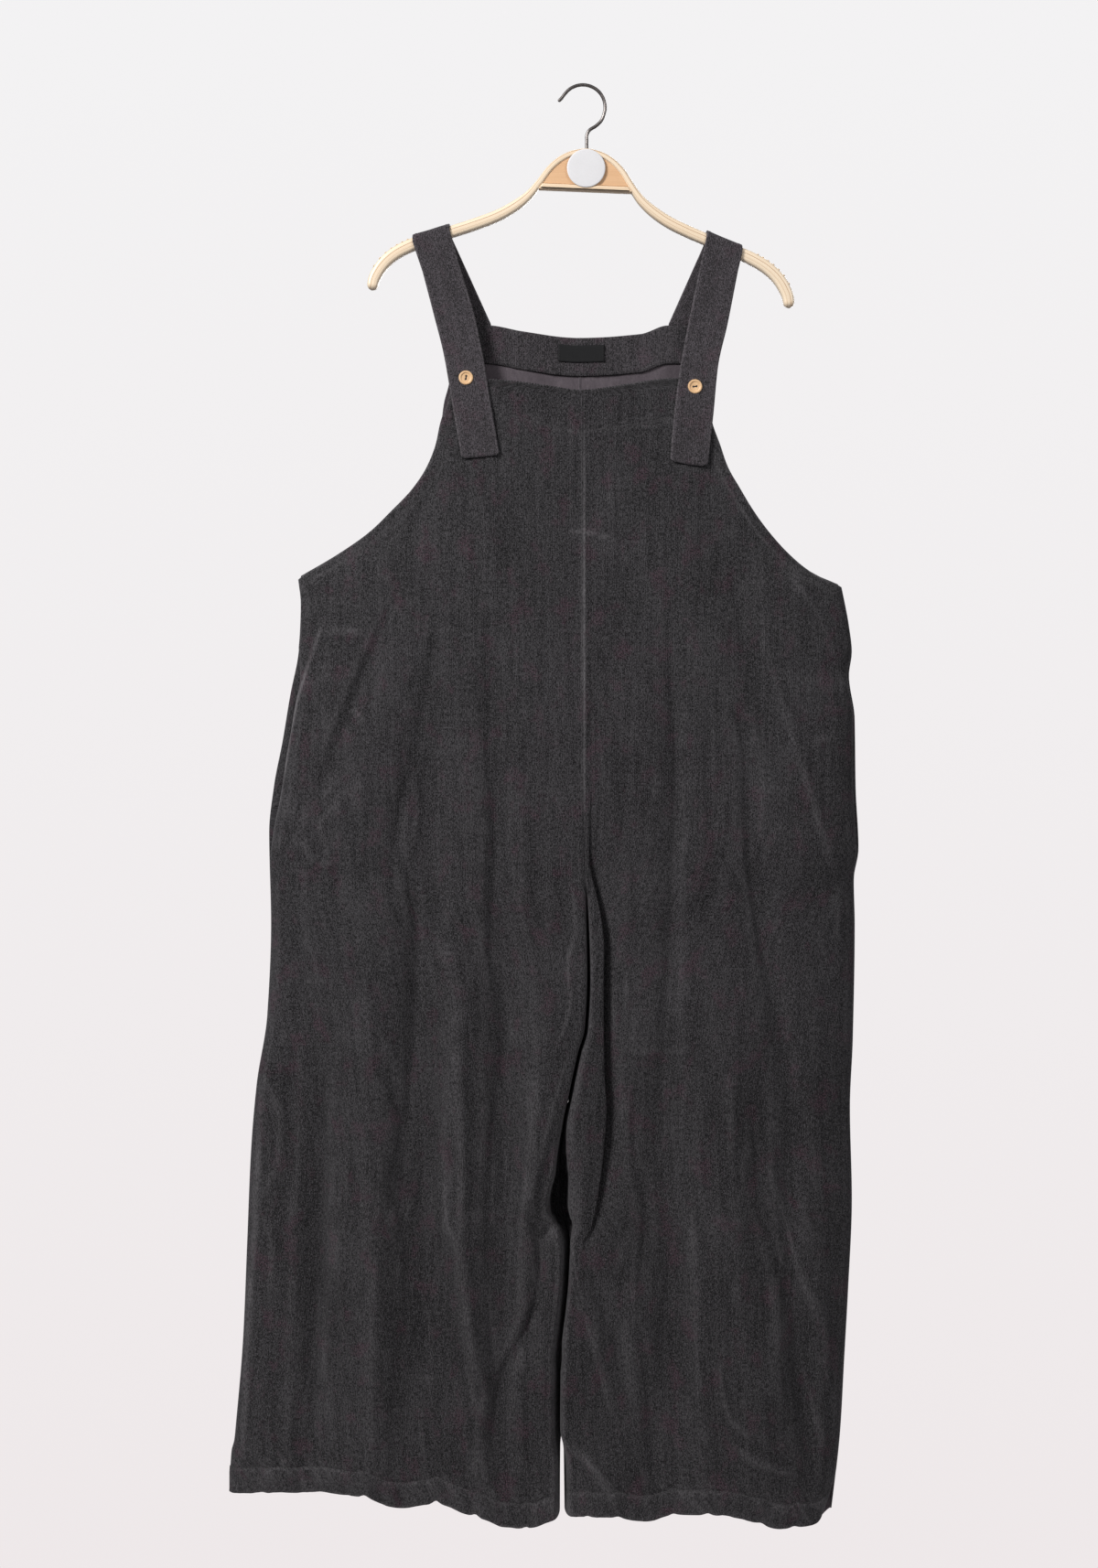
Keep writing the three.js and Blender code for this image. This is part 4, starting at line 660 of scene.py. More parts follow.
def panel_columns(side, face, z):
    """x of every column at the heights z, one row of z for each column, and the lap fold's shares."""
    inner, outer = inner_x(side, face, z), outer_x(side, face, z)
    if face == FRONT and side == RIGHT:
        lap = lap_columns(z)
        shares = np.linspace(0, 1, BAND_COLUMNS, endpoint=False) ** 1.7
        columns = [(mix(inner, lap[0][0], share), 0.0) for share in shares] + lap[:-1]
        first = lap[-1][0]
        middle = MIDDLE_COLUMNS[face] - 30
    else:
        columns = [(inner + side * offset, 0.0) for offset in INNER_OFFSETS[:-1]]
        first = inner + side * INNER_OFFSETS[-1]
        middle = MIDDLE_COLUMNS[face]
    last = outer - side * OUTER_OFFSETS[0]
    columns += [(mix(first, last, share), 1.0) for share in np.linspace(0, 1, middle, endpoint=False)]
    columns += [(outer - side * offset, 1.0) for offset in OUTER_OFFSETS]
    return [column[0] for column in columns], np.array([column[1] for column in columns])


def row_heights(top, coarse):
    """Heights of the rows at the centre, close together at the top and at the hem."""
    heights = [top]
    while heights[-1] > LAST_ROW:
        down, up = top - heights[-1], heights[-1] - LAST_ROW
        heights.append(heights[-1] - mix(FINE_ROW, coarse, smooth(62, 90, down) * smooth(40, 70, up)))
    heights[-1] = LAST_ROW
    return heights


# The turned-up hem: rise over the edge and step inwards
HEM_TURN = [(-0.7, 0.5), (-0.9, 1.2), (-0.5, 1.9), (1.5, 2.3), (6, 2.4), (12, 2.4), (18, 2.4), (25, 2.3)]


def panel_points(side, face):
    """The middle surface of a panel as rows of points, hem turned up inside."""
    side_row = curve(BIB_ROWS[face, side])
    top = BIB_ROWS[face, side][0][0]
    reference = np.array([float(x) for x in panel_columns(side, face, np.array(-600.0))[0]])
    shares = (reference - reference[0]) / (reference[-1] - reference[0])
    rows = []
    for z_centre in row_heights(top, COARSE_ROW[face]):
        z = mix(z_centre, float(side_row(z_centre)), shares)
        x, _ = pick_columns(side, face, z)
        fade = np.clip(1 - (top - z_centre) / TOP_FADE, 0, 1)
        start = mix(top, BIB_ROWS[face, side][0][1], shares)
        z = z + fade * (top_edge[face](x) - start)
        if face == FRONT:
            z = z + 0.85 * smooth(12, 0, top - z_centre) * edge_ripple(x)
        fade = np.clip((LAST_ROW + HEM_FADE - z_centre) / HEM_FADE, 0, 1)
        z = z + fade * (hem_edge(side, x) - LAST_ROW)
        x, under = pick_columns(side, face, z)
        rows.append((x, z, np.array(under)))
    x, z, under = [np.array([row[k] for row in rows]) for k in range(3)]
    y = face * stand_off(side, face, x, z, True, under)
    from_inner = np.abs(x - inner_x(side, face, z))
    leaned = x + leg_shear(z) * y * np.exp(-((from_inner / SHEAR_REACH) ** 2))
    points = [np.stack([leaned, y, z], axis=2)]
    for rise, inward in HEM_TURN:
        z_turn = z[-1] + rise
        off_turn = np.maximum(stand_off(side, face, x[-1], z_turn, True, under[-1]) - inward, 0.1)
        points.append(np.stack([x[-1], face * off_turn, z_turn], axis=1)[None])
    return np.concatenate(points), len(rows)


def pick_columns(side, face, z):
    """x of each column at its own height, and the lap fold's shares."""
    grid, under = panel_columns(side, face, z)
    return np.array([grid[c][c] for c in range(len(z))]), under


def grid_normals(points):
    across = np.gradient(points, axis=1)
    down = np.gradient(points, axis=0)
    normal = np.cross(across, down)
    length = np.linalg.norm(normal, axis=2, keepdims=True)
    return normal / np.where(length == 0, 1, length)


def arc_lengths(points, axis):
    steps = np.linalg.norm(np.diff(points, axis=axis), axis=2)
    start = np.zeros_like(steps.take([0], axis=axis))
    return np.concatenate([start, np.cumsum(steps, axis=axis)], axis=axis)


def make_object(name, vertices, faces, materials, smooth_faces=True):
    mesh = bpy.data.meshes.new(name)
    mesh.from_pydata((np.asarray(vertices) * MM).tolist(), [], [list(face) for face in faces])
    mesh.polygons.foreach_set("use_smooth", [smooth_faces] * len(mesh.polygons))
    for material in materials:
        mesh.materials.append(material)
    mesh.update()
    thing = bpy.data.objects.new(name, mesh)
    bpy.context.scene.collection.objects.link(thing)
    return thing


def set_uv(mesh, uv):
    layer = mesh.uv_layers.new(name="cut")
    index = np.zeros(len(mesh.loops), int)
    mesh.loops.foreach_get("vertex_index", index)
    layer.data.foreach_set("uv", (uv[index] * MM).ravel())


def set_attribute(mesh, name, values):
    attribute = mesh.attributes.new(name, "FLOAT", "POINT")
    attribute.data.foreach_set("value", np.asarray(values, np.float32).ravel())


def sheet_object(name, points, thickness, materials, uv, wear_and_highlight=None, normals=None, inside_rows=None):
    """A closed shell of cloth round a grid of points, with rounded edges. The first material is the
    outer skin's, the second the inner skin's; rows from inside_rows on have them swapped."""
    rows, columns = points.shape[:2]
    if normals is None:
        normals = grid_normals(points)
    skins = [points + normals * thickness / 2, points - normals * thickness / 2]
    count = rows * columns
    index = np.arange(count).reshape(rows, columns)
    a, b, c, d = index[:-1, :-1], index[1:, :-1], index[1:, 1:], index[:-1, 1:]
    outer = np.stack([a, d, c, b], axis=-1).reshape(-1, 4)
    inner = np.stack([a, b, c, d], axis=-1).reshape(-1, 4) + count
    rim = np.concatenate([index[0, :], index[1:, -1], index[-1, -2::-1], index[-2:0:-1, 0]])
    flat = points.reshape(-1, 3)
    away = np.zeros_like(points)
    away[0] += points[0] - points[1]
    away[-1] += points[-1] - points[-2]
    away[:, 0] += points[:, 0] - points[:, 1]
    away[:, -1] += points[:, -1] - points[:, -2]
    away = away.reshape(-1, 3)[rim]
    away = away / np.maximum(np.linalg.norm(away, axis=1, keepdims=True), 1e-9)
    edge = flat[rim] + away * thickness * 0.42
    vertices = np.concatenate([skins[0].reshape(-1, 3), skins[1].reshape(-1, 3), edge])
    ring = 2 * count + np.arange(len(rim))
    nxt = np.roll(ring, -1)
    rim_next = np.roll(rim, -1)
    side_a = np.stack([rim, rim_next, nxt, ring], axis=-1)
    side_b = np.stack([ring, nxt, rim_next + count, rim + count], axis=-1)
    faces = np.concatenate([outer, inner, side_a, side_b])
    thing = make_object(name, vertices, faces, materials)
    mesh = thing.data
    uv_flat = uv.reshape(-1, 2)
    set_uv(mesh, np.concatenate([uv_flat, uv_flat, uv_flat[rim]]))
    wear_and_highlight_flat = np.zeros(count) if wear_and_highlight is None else wear_and_highlight.ravel()
    set_attribute(mesh, "wear_and_highlight", np.concatenate([wear_and_highlight_flat, wear_and_highlight_flat, np.maximum(wear_and_highlight_flat[rim], 0.5)]))
    if len(materials) > 1:
        quads = (rows - 1) * (columns - 1)
        row_of = np.repeat(np.arange(rows - 1), columns - 1)
        turned = row_of >= (rows if inside_rows is None else inside_rows)
        slots = np.zeros(len(faces), np.int32)
        slots[:quads] = turned
        slots[quads:2 * quads] = ~turned
        mesh.polygons.foreach_set("material_index", slots)
    return thing


def tidy_normals(thing, merge=False):
    """Turns all faces outwards, and merges points that coincide where asked to."""
    work = bmesh.new()
    work.from_mesh(thing.data)
    if merge:
        bmesh.ops.remove_doubles(work, verts=work.verts, dist=0.00002)
    bmesh.ops.recalc_face_normals(work, faces=work.faces)
    work.to_mesh(thing.data)
    work.free()


class Look:
    """A material's node tree, built with short calls."""

    def __init__(self, name, roughness=0.8):
        self.material = bpy.data.materials.new(name)
        self.material.use_nodes = True
        self.tree = self.material.node_tree
        self.shader = self.tree.nodes["Principled BSDF"]
        self.shader.inputs["Roughness"].default_value = roughness

    def node(self, kind, **settings):
        made = self.tree.nodes.new(kind)
        for key, value in settings.items():
            setattr(made, key, value)
        return made

    def put(self, socket, value):
        if isinstance(value, bpy.types.NodeSocket):
            self.tree.links.new(value, socket)
        else:
            socket.default_value = value

    def math(self, operation, a, b=0.0, c=0.0, clamp=False):
        made = self.node("ShaderNodeMath", operation=operation, use_clamp=clamp)
        for socket, value in zip(made.inputs, (a, b, c)):
            self.put(socket, value)
        return made.outputs[0]

    def cut(self):
        """Place on the flat cloth, in metres."""
        return self.node("ShaderNodeUVMap", uv_map="cut").outputs[0]

    def place(self):
        return self.node("ShaderNodeTexCoord").outputs["Object"]

    def attribute(self, name):
        return self.node("ShaderNodeAttribute", attribute_name=name).outputs["Fac"]

    def scaled(self, vector, scale, shift=(0, 0, 0)):
        made = self.node("ShaderNodeMapping")
        self.put(made.inputs["Vector"], vector)
        made.inputs["Scale"].default_value = scale
        made.inputs["Location"].default_value = shift
        return made.outputs[0]

    def noise(self, vector, detail=2.0, roughness=0.5, distortion=0.0):
        made = self.node("ShaderNodeTexNoise")
        self.put(made.inputs["Vector"], vector)
        made.inputs["Scale"].default_value = 1.0
        made.inputs["Detail"].default_value = detail
        made.inputs["Roughness"].default_value = roughness
        made.inputs["Distortion"].default_value = distortion
        return made.outputs["Fac"]

    def spread(self, value, low, high, to_low=0.0, to_high=1.0):
        made = self.node("ShaderNodeMapRange", interpolation_type="SMOOTHSTEP")
        for socket, number in zip(made.inputs, (value, low, high, to_low, to_high)):
            self.put(socket, number)
        return made.outputs[0]

    def blend(self, share, a, b):
        made = self.node("ShaderNodeMix", data_type="RGBA")
        self.put(made.inputs[0], share)
        self.put(made.inputs[6], a)
        self.put(made.inputs[7], b)
        return made.outputs[2]

    def split(self, vector):
        made = self.node("ShaderNodeSeparateXYZ")
        self.put(made.inputs[0], vector)
        return made.outputs

    def bump(self, height, distance, strength=1.0, normal=None):
        made = self.node("ShaderNodeBump")
        made.inputs["Strength"].default_value = strength
        made.inputs["Distance"].default_value = distance
        self.put(made.inputs["Height"], height)
        if normal is not None:
            self.put(made.inputs["Normal"], normal)
        return made.outputs[0]

    def finish(self, colour, normal=None, roughness=None):
        self.put(self.shader.inputs["Base Color"], colour)
        if normal is not None:
            self.put(self.shader.inputs["Normal"], normal)
        if roughness is not None:
            self.put(self.shader.inputs["Roughness"], roughness)
        return self.material


def rgb(red, green, blue):
    """A colour given as on screen, 0 to 255, made linear."""
    def linear(value):
        value /= 255
        return value / 12.92 if value <= 0.04045 else ((value + 0.055) / 1.055) ** 2.4
    return (linear(red), linear(green), linear(blue), 1)


WALE = 0.0016


def needlecord(name, dark, light, mauve, worn_and_highlight, sheen):
    """Fine corduroy: wales along the cloth, a dye full of specks, mauve clusters, pale where it is worn and
    where highlights are painted on ridges and fine wrinkles, and painted shade darker towards the hem.
    """
    look = Look(name, roughness=0.95)
    look.shader.inputs["Sheen Weight"].default_value = sheen
    look.shader.inputs["Sheen Roughness"].default_value = 0.55
    look.shader.inputs["Sheen Tint"].default_value = (0.82, 0.8, 0.82, 1)
    look.shader.inputs["Specular IOR Level"].default_value = 0.15
    cut = look.cut()
    sway = look.noise(look.scaled(cut, (60, 12, 1)), 2)
    across = look.split(cut)[0]
    turn = look.math("MULTIPLY", across, 2 * math.pi / WALE)
    turn = look.math("MULTIPLY_ADD", sway, 9.0, turn)
    wale = look.math("SINE", turn)
    broad = look.noise(look.scaled(cut, (16, 9, 1)), 4, 0.6)
    streak = look.noise(look.scaled(cut, (170, 9, 1), (3, 7, 0)), 3, 0.6)
    speck = look.noise(look.scaled(cut, (1250, 640, 1)), 1, 0.6)
    fleck = look.noise(look.scaled(cut, (760, 240, 1), (7, 3, 0)), 2, 0.7)
    nap = look.noise(look.scaled(cut, (380, 42, 1), (5, 1, 0)), 3, 0.65)
    patch = look.noise(look.scaled(cut, (40, 30, 1), (9, 4, 0)), 3, 0.6)
    shade = 0.42
    for source, strength in ((broad, 0.65), (streak, 0.75), (nap, 0.85), (speck, 3.4), (fleck, 2.6)):
        shade = look.math("MULTIPLY_ADD", look.math("SUBTRACT", source, 0.5), strength, shade)
    # Thin lighter hairlines, also bumped: worn scratches and painted highlights of fine wrinkles.
    hairline_wear_and_highlight = look.noise(look.scaled(cut, (46, 9, 1), (1, 9, 0)), 4, 0.65, 0.7)
    hairline_wear_and_highlight = look.spread(look.math("ABSOLUTE", look.math("SUBTRACT", hairline_wear_and_highlight, 0.5)), 0.0, 0.011, 1.0, 0.0)
    hairline_wear_and_highlight = look.math("MULTIPLY", hairline_wear_and_highlight, look.spread(broad, 0.46, 0.6))
    shade = look.math("MULTIPLY_ADD", hairline_wear_and_highlight, 0.32, shade)
    # Painted shade: the cloth is made darker towards the hem, from 0.85 m down to 1.3 m down.
    shade = look.math("SUBTRACT", shade, look.spread(look.split(cut)[1], -1.3, -0.85, 0.06, 0.0))
    shade = look.math("MULTIPLY_ADD", wale, 0.1, shade, clamp=True)
    colour = look.blend(shade, dark, light)
    clustered = look.spread(speck, 0.48, 0.62, 0.05, 0.6)
    cluster = look.math("MULTIPLY", look.spread(patch, 0.53, 0.68), clustered)
    colour = look.blend(cluster, colour, mauve)
    # The attribute lightens the cloth towards the pale colour: real wear, and painted highlight on ridges
    # and crest lines.
    rub_and_highlight = look.math("MULTIPLY", look.attribute("wear_and_highlight"), look.spread(fleck, 0.35, 0.6, 0.35, 1.0), clamp=True)
    colour = look.blend(rub_and_highlight, colour, worn_and_highlight)
    height = look.math("MULTIPLY_ADD", nap, 1.2, wale)
    normal = look.bump(height, 0.00014, 0.8)
    normal = look.bump(speck, 0.0003, 0.8, normal)
    normal = look.bump(hairline_wear_and_highlight, 0.0006, 0.6, normal)
    normal = look.bump(look.noise(look.scaled(cut, (150, 40, 1), (2, 2, 0)), 4, 0.6), 0.001, 0.4, normal)
    return look.finish(colour, normal)


def weave(name, dark, light):
    """The flat wrong side of the cloth, a fine plain weave."""
    look = Look(name, roughness=0.95)
    look.shader.inputs["Sheen Weight"].default_value = 0.15
    look.shader.inputs["Specular IOR Level"].default_value = 0.15
    cut = look.cut()
    parts = look.split(cut)
    warp = look.math("SINE", look.math("MULTIPLY", parts[0], 2 * math.pi / 0.0008))
    weft = look.math("SINE", look.math("MULTIPLY", parts[1], 2 * math.pi / 0.0008))
    over = look.math("MULTIPLY", warp, weft)
    fleck = look.noise(look.scaled(cut, (400, 160, 1)), 4, 0.7)
    broad = look.noise(look.scaled(cut, (30, 14, 1)), 3)
    shade = look.math("MULTIPLY_ADD", over, 0.15, look.math("ADD", fleck, -0.35))
    shade = look.math("MULTIPLY_ADD", broad, 0.9, shade, clamp=True)
    normal = look.bump(look.math("MULTIPLY_ADD", over, 0.3, fleck), 0.0003, 0.7)
    return look.finish(look.blend(shade, dark, light), normal)


def thread_look(name, dark, light, pitch=0.0006):
    look = Look(name, roughness=0.7)
    place = look.place()
    parts = look.split(place)
    lay = look.math("ADD", parts[0], look.math("ADD", parts[1], parts[2]))
    ply = look.math("SINE", look.math("MULTIPLY", lay, 2 * math.pi / pitch))
    fuzz = look.noise(look.scaled(place, (900, 900, 900)), 3)
    shade = look.math("MULTIPLY_ADD", ply, 0.25, fuzz, clamp=True)
    return look.finish(look.blend(shade, dark, light), look.bump(ply, 0.0001, 0.5))


def strip_wood(name):
    """Pale varnished wood bent from layers, with the thin brown glue lines between them."""
    look = Look(name, roughness=0.42)
    look.shader.inputs["Coat Weight"].default_value = 0.35
    look.shader.inputs["Coat Roughness"].default_value = 0.25
    cut = look.cut()
    parts = look.split(cut)
    grain = look.noise(look.scaled(cut, (18, 2200, 1)), 4, 0.65, 0.4)
    flow = look.noise(look.scaled(cut, (9, 260, 1), (4, 0, 0)), 3)
    pores = look.noise(look.scaled(cut, (120, 3800, 1), (1, 5, 0)), 2)
    shade = look.math("MULTIPLY_ADD", grain, 0.6, look.math("MULTIPLY_ADD", flow, 0.6, -0.15), clamp=True)
    colour = look.blend(shade, rgb(218, 188, 152), rgb(251, 238, 216))
    colour = look.blend(look.spread(pores, 0.62, 0.8, 0, 0.35), colour, rgb(176, 136, 96))
    for level, half, strength in ((0.00165, 0.0004, 0.75), (-0.0021, 0.0003, 0.4)):
        away = look.math("ABSOLUTE", look.math("SUBTRACT", parts[1], level))
        line = look.spread(away, half * 0.5, half, strength, 0)
        colour = look.blend(line, colour, rgb(158, 112, 66))
    normal = look.bump(grain, 0.0002, 0.35)
    return look.finish(colour, normal)


def flat_wood(name, dark, light, direction, roughness=0.5):
    """Wood with its grain along one axis of the object."""
    look = Look(name, roughness=roughness)
    place = look.place()
    scale = [900.0, 900.0, 900.0]
    scale[direction] = 22.0
    grain = look.noise(look.scaled(place, scale), 4, 0.65, 0.5)
    broad = look.noise(look.scaled(place, [value * 0.22 for value in scale], (3, 1, 2)), 3)
    shade = look.math("MULTIPLY_ADD", grain, 0.8, look.math("MULTIPLY_ADD", broad, 0.6, -0.25), clamp=True)
    return look.finish(look.blend(shade, dark, light), look.bump(grain, 0.0002, 0.4))


def card_look(name):
    look = Look(name, roughness=0.45)
    place = look.place()
    fibre = look.noise(look.scaled(place, (700, 700, 700)), 4)
    broad = look.noise(look.scaled(place, (60, 60, 60)), 2)
    shade = look.math("MULTIPLY_ADD", fibre, 0.5, look.math("MULTIPLY", broad, 0.4), clamp=True)
    colour = look.blend(shade, rgb(208, 206, 207), rgb(224, 223, 224))
    return look.finish(colour, look.bump(fibre, 0.00005, 0.3))


def steel_look(name):
    look = Look(name, roughness=0.25)
    look.shader.inputs["Metallic"].default_value = 1.0
    place = look.place()
    drawn = look.noise(look.scaled(place, (1500, 1500, 120)), 3)
    dull = look.noise(look.scaled(place, (90, 90, 90)), 3)
    colour = look.blend(dull, rgb(92, 87, 85), rgb(140, 134, 131))
    rough = look.spread(drawn, 0.3, 0.7, 0.28, 0.42)
    return look.finish(colour, look.bump(drawn, 0.00004, 0.4), rough)


def label_look(name):
    look = Look(name, roughness=0.7)
    look.shader.inputs["Specular IOR Level"].default_value = 0.3
    cut = look.cut()
    parts = look.split(cut)
    rib = look.math("SINE", look.math("MULTIPLY", parts[1], 2 * math.pi / 0.0007))
    warp = look.noise(look.scaled(cut, (1600, 120, 1)), 3)
    shade = look.math("MULTIPLY_ADD", rib, 0.2, warp, clamp=True)
    return look.finish(look.blend(shade, rgb(6, 6, 7), rgb(20, 20, 22)), look.bump(rib, 0.0001, 0.5))


def floor_look(name):
    """Pale floor that fades out towards its rim."""
    look = Look(name, roughness=0.9)
    place = look.place()
    grit = look.noise(look.scaled(place, (40, 40, 40)), 3)
    look.finish(look.blend(grit, rgb(232, 228, 229), rgb(240, 236, 237)))
    parts = look.split(place)
    reach = look.math("SQRT", look.math("ADD", look.math("MULTIPLY", parts[0], parts[0]),
                                        look.math("MULTIPLY", parts[1], parts[1])))
    look.put(look.shader.inputs["Alpha"], look.spread(reach, 0.35, 0.72, 1, 0))
    return look.material


cord = needlecord("cord", rgb(14, 13, 14), rgb(68, 66, 68), rgb(78, 50, 63), rgb(100, 97, 99), 0.09)
strap_cord = needlecord(
    "strap_cord", rgb(32, 30, 31), rgb(80, 75, 79), rgb(82, 62, 71), rgb(98, 93, 96), 0.12)
facing_cord = needlecord(
    "facing_cord", rgb(25, 24, 25), rgb(77, 73, 76), rgb(80, 60, 70), rgb(98, 93, 96), 0.1)
wrong_side = weave("wrong_side", rgb(58, 52, 56), rgb(98, 90, 95))
seam_thread = thread_look("seam_thread", rgb(40, 38, 39), rgb(76, 73, 75))
dark_thread = thread_look("dark_thread", rgb(16, 14, 15), rgb(38, 34, 35), 0.0005)
pale_thread = thread_look("pale_thread", rgb(84, 80, 82), rgb(136, 130, 132))


def declare(thing, slot, *nodes):
    """Puts a piece on the body and hides the solids it stands for; slot, the name of its finish, is not
    used.
    """
    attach(thing, "root")
    if nodes:
        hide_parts(*nodes)
    return thing


def convexity(points):
    """How proud each point is of its surroundings, for the lighter ridges: real wear and painted highlight.
    """
    depth = np.abs(points[:, :, 1])
    blurred = depth.copy()
    for _ in range(6):
        padded = np.pad(blurred, 1, mode="edge")
        near = padded[:-2, 1:-1] + padded[2:, 1:-1] + padded[1:-1, :-2] + padded[1:-1, 2:]
        blurred = mix(blurred, near / 4, 0.8)
    return depth - blurred


def panel_wear_and_highlight(side, face, points, hem_row):
    x, z = points[:, :, 0], points[:, :, 2]
    # Ridges made lighter by their convexity: partly real wear, partly painted highlight.
    wear_and_highlight = np.clip(convexity(points) * 0.55, 0, 0.35)
    from_hem = z - hem_edge(side, x)
    wear_and_highlight = np.maximum(wear_and_highlight, 0.4 * np.exp(-((from_hem / 1.6) ** 2)))
    wear_and_highlight = np.maximum(wear_and_highlight, 0.38 * np.exp(-(((from_hem - LEG_HEM + 1) / 2.0) ** 2)))
    wear_and_highlight = np.maximum(wear_and_highlight, 0.12 * smooth(LEG_HEM, LEG_HEM - 3, from_hem))
    away = np.abs(outer_x(side, face, z) - x)
    seam_wear = np.where(z < UNDERARM, 0.35, 0.45)
    wear_and_highlight = np.maximum(wear_and_highlight, seam_wear * np.exp(-((away / 1.8) ** 2)))
    in_bib = z > UNDERARM - 8
    signed, _ = line_distance(armhole_line(side, face), x[in_bib], z[in_bib])
    edge = 0.5 * np.exp(-((signed / 1.7) ** 2))
    edge = np.maximum(edge, 0.4 * np.exp(-(((np.abs(signed) - ARMHOLE_HEM + 1) / 1.6) ** 2)))
    wear_and_highlight[in_bib] = np.maximum(wear_and_highlight[in_bib], edge)
    if face == FRONT:
        for strength, width, line in WORN_AND_HIGHLIGHT_LINES:
            wear_and_highlight = np.maximum(wear_and_highlight, strength * crease(resample(from_picture(line), 12), width, width, x, z))
    else:
        middle = np.abs(x - inner_x(side, face, z))
        wear_and_highlight = np.maximum(wear_and_highlight, 0.4 * np.exp(-((middle / 2.2) ** 2)) * (z > CROTCH))
    patchy = 0.65 + 0.35 * value_noise(x / 9, z / 22, 91)
    wear_and_highlight = wear_and_highlight * patchy
    wear_and_highlight[hem_row:] = 0
    return wear_and_highlight


def panel(side, face):
    points, hem_row = panel_points(side, face)
    x, z = points[:, :, 0], points[:, :, 2]
    arcs = arc_lengths(points, 1)
    start = inner_x(side, face, z[:, :1])
    uv = np.stack([start + side * arcs, z], axis=2)
    uv[hem_row:, :, 1] -= 5
    normals = grid_normals(points)
    if side * face > 0:
        normals = -normals
    wear_and_highlight = panel_wear_and_highlight(side, face, points, hem_row)
    name = f"{FACE_NAMES[face]}_cloth_{SIDE_NAMES[side]}"
    thing = sheet_object(name, points, CLOTH, [cord, wrong_side], uv, wear_and_highlight, -normals, hem_row)
    tidy_normals(thing)
    declare(thing, "needlecord", f"{FACE_NAMES[face]}_panel_{SIDE_NAMES[side]}")
    return thing


panels = {(side, face): panel(side, face) for face in FACE_NAMES for side in SIDE_NAMES}

# Hanger: half of the bent strip's centreline in its own frame: x, z, thickness
BOW_HALF = [
    (0, -3.2, 6.3), (13, -5.6, 6.4), (26, -12, 6.8), (37.5, -22.5, 6.9), (48, -37.5, 7.2), (59, -51.5, 9),
    (72, -62.5, 10.8), (90, -73.5, 11.6), (112, -83, 12), (136, -92, 12), (158, -100, 12.4), (176, -107, 13),
    (192, -115.5, 13), (204, -125.5, 12.8), (212, -136.5, 12.6), (216.5, -147, 12), (218, -157, 10.5),
]
bow_z, bow_thick = curve(BOW_HALF, 1), curve(BOW_HALF, 2)


def hanger_to_world(x, z):
    cos, sin = math.cos(HANGER_TILT), math.sin(HANGER_TILT)
    return HANGER_TOP[0] + x * cos + z * sin, HANGER_TOP[1] - x * sin + z * cos


def tube(name, centres, radii, sides, material, power=1.0):
    """A closed solid through rings round a path in the plane y = 0; radii are (across, depth) pairs."""
    along = np.gradient(centres, axis=0)
    along /= np.linalg.norm(along, axis=1, keepdims=True)
    up = np.stack([-along[:, 2], along[:, 1] * 0, along[:, 0]], axis=1)
    angles = np.arange(sides) / sides * 2 * np.pi
    cos = np.sign(np.cos(angles)) * np.abs(np.cos(angles)) ** power
    sin = np.sign(np.sin(angles)) * np.abs(np.sin(angles)) ** power
    radii = np.asarray(radii, float)
    rings = centres[:, None, :] + up[:, None, :] * (radii[:, 0:1] * sin)[:, :, None]
    rings[:, :, 1] += radii[:, 1:2] * cos
    count = len(centres)
    vertices = rings.reshape(-1, 3)
    index = np.arange(count * sides).reshape(count, sides)
    nxt = np.roll(index, -1, axis=1)
    faces = np.stack([index[:-1], nxt[:-1], nxt[1:], index[1:]], axis=-1).reshape(-1, 4).tolist()
    faces += [index[0, ::-1].tolist(), index[-1].tolist()]
    thing = make_object(name, vertices, faces, [material])
    lengths = np.concatenate([[0], np.cumsum(np.linalg.norm(np.diff(centres, axis=0), axis=1))])
    uv = np.stack([np.repeat(lengths, sides), (radii[:, 0:1] * sin).ravel()], axis=1)
    set_uv(thing.data, uv)
    tidy_normals(thing)
    return thing


def hanger_strip(material):
    """The bent strip, its tips rounded; the small grip ridges on top near them are a separate piece."""
    half = [(x, z, thick) for x, z, thick in BOW_HALF]
    stations = [(-x, z, thick) for x, z, thick in half[:0:-1]] + half
    line = resample(stations, 1.6)
    centres = np.stack([line[:, 0], np.zeros(len(line)), line[:, 1]], axis=1)
    thick = line[:, 2] / 2
    from_end = np.minimum(np.arange(len(line)), np.arange(len(line))[::-1]) * 1.6
    round_off = np.sqrt(1 - np.clip(1 - from_end / 5.5, 0, 1) ** 2)
    round_off = np.maximum(round_off, 0.12)
    radii = np.stack([thick * round_off, ARM_HALF_DEPTH * round_off], axis=1)
    thing = tube("hanger_strip", centres, radii, 28, material, 0.55)
    place_hanger(thing)
    return thing


def place_hanger(thing):
    """From the hanger's own frame into the row frame, in the mesh itself."""
    mesh = thing.data
    data = np.zeros(len(mesh.vertices) * 3)
    mesh.vertices.foreach_get("co", data)
    data = data.reshape(-1, 3)
    x, z = hanger_to_world(data[:, 0] / MM, data[:, 2] / MM)
    data[:, 0], data[:, 2] = x * MM, z * MM
    mesh.vertices.foreach_set("co", data.ravel())
    mesh.update()


strip_finish = strip_wood("strip_wood")
declare(hanger_strip(strip_finish), "hanger_wood", "hanger_bow")


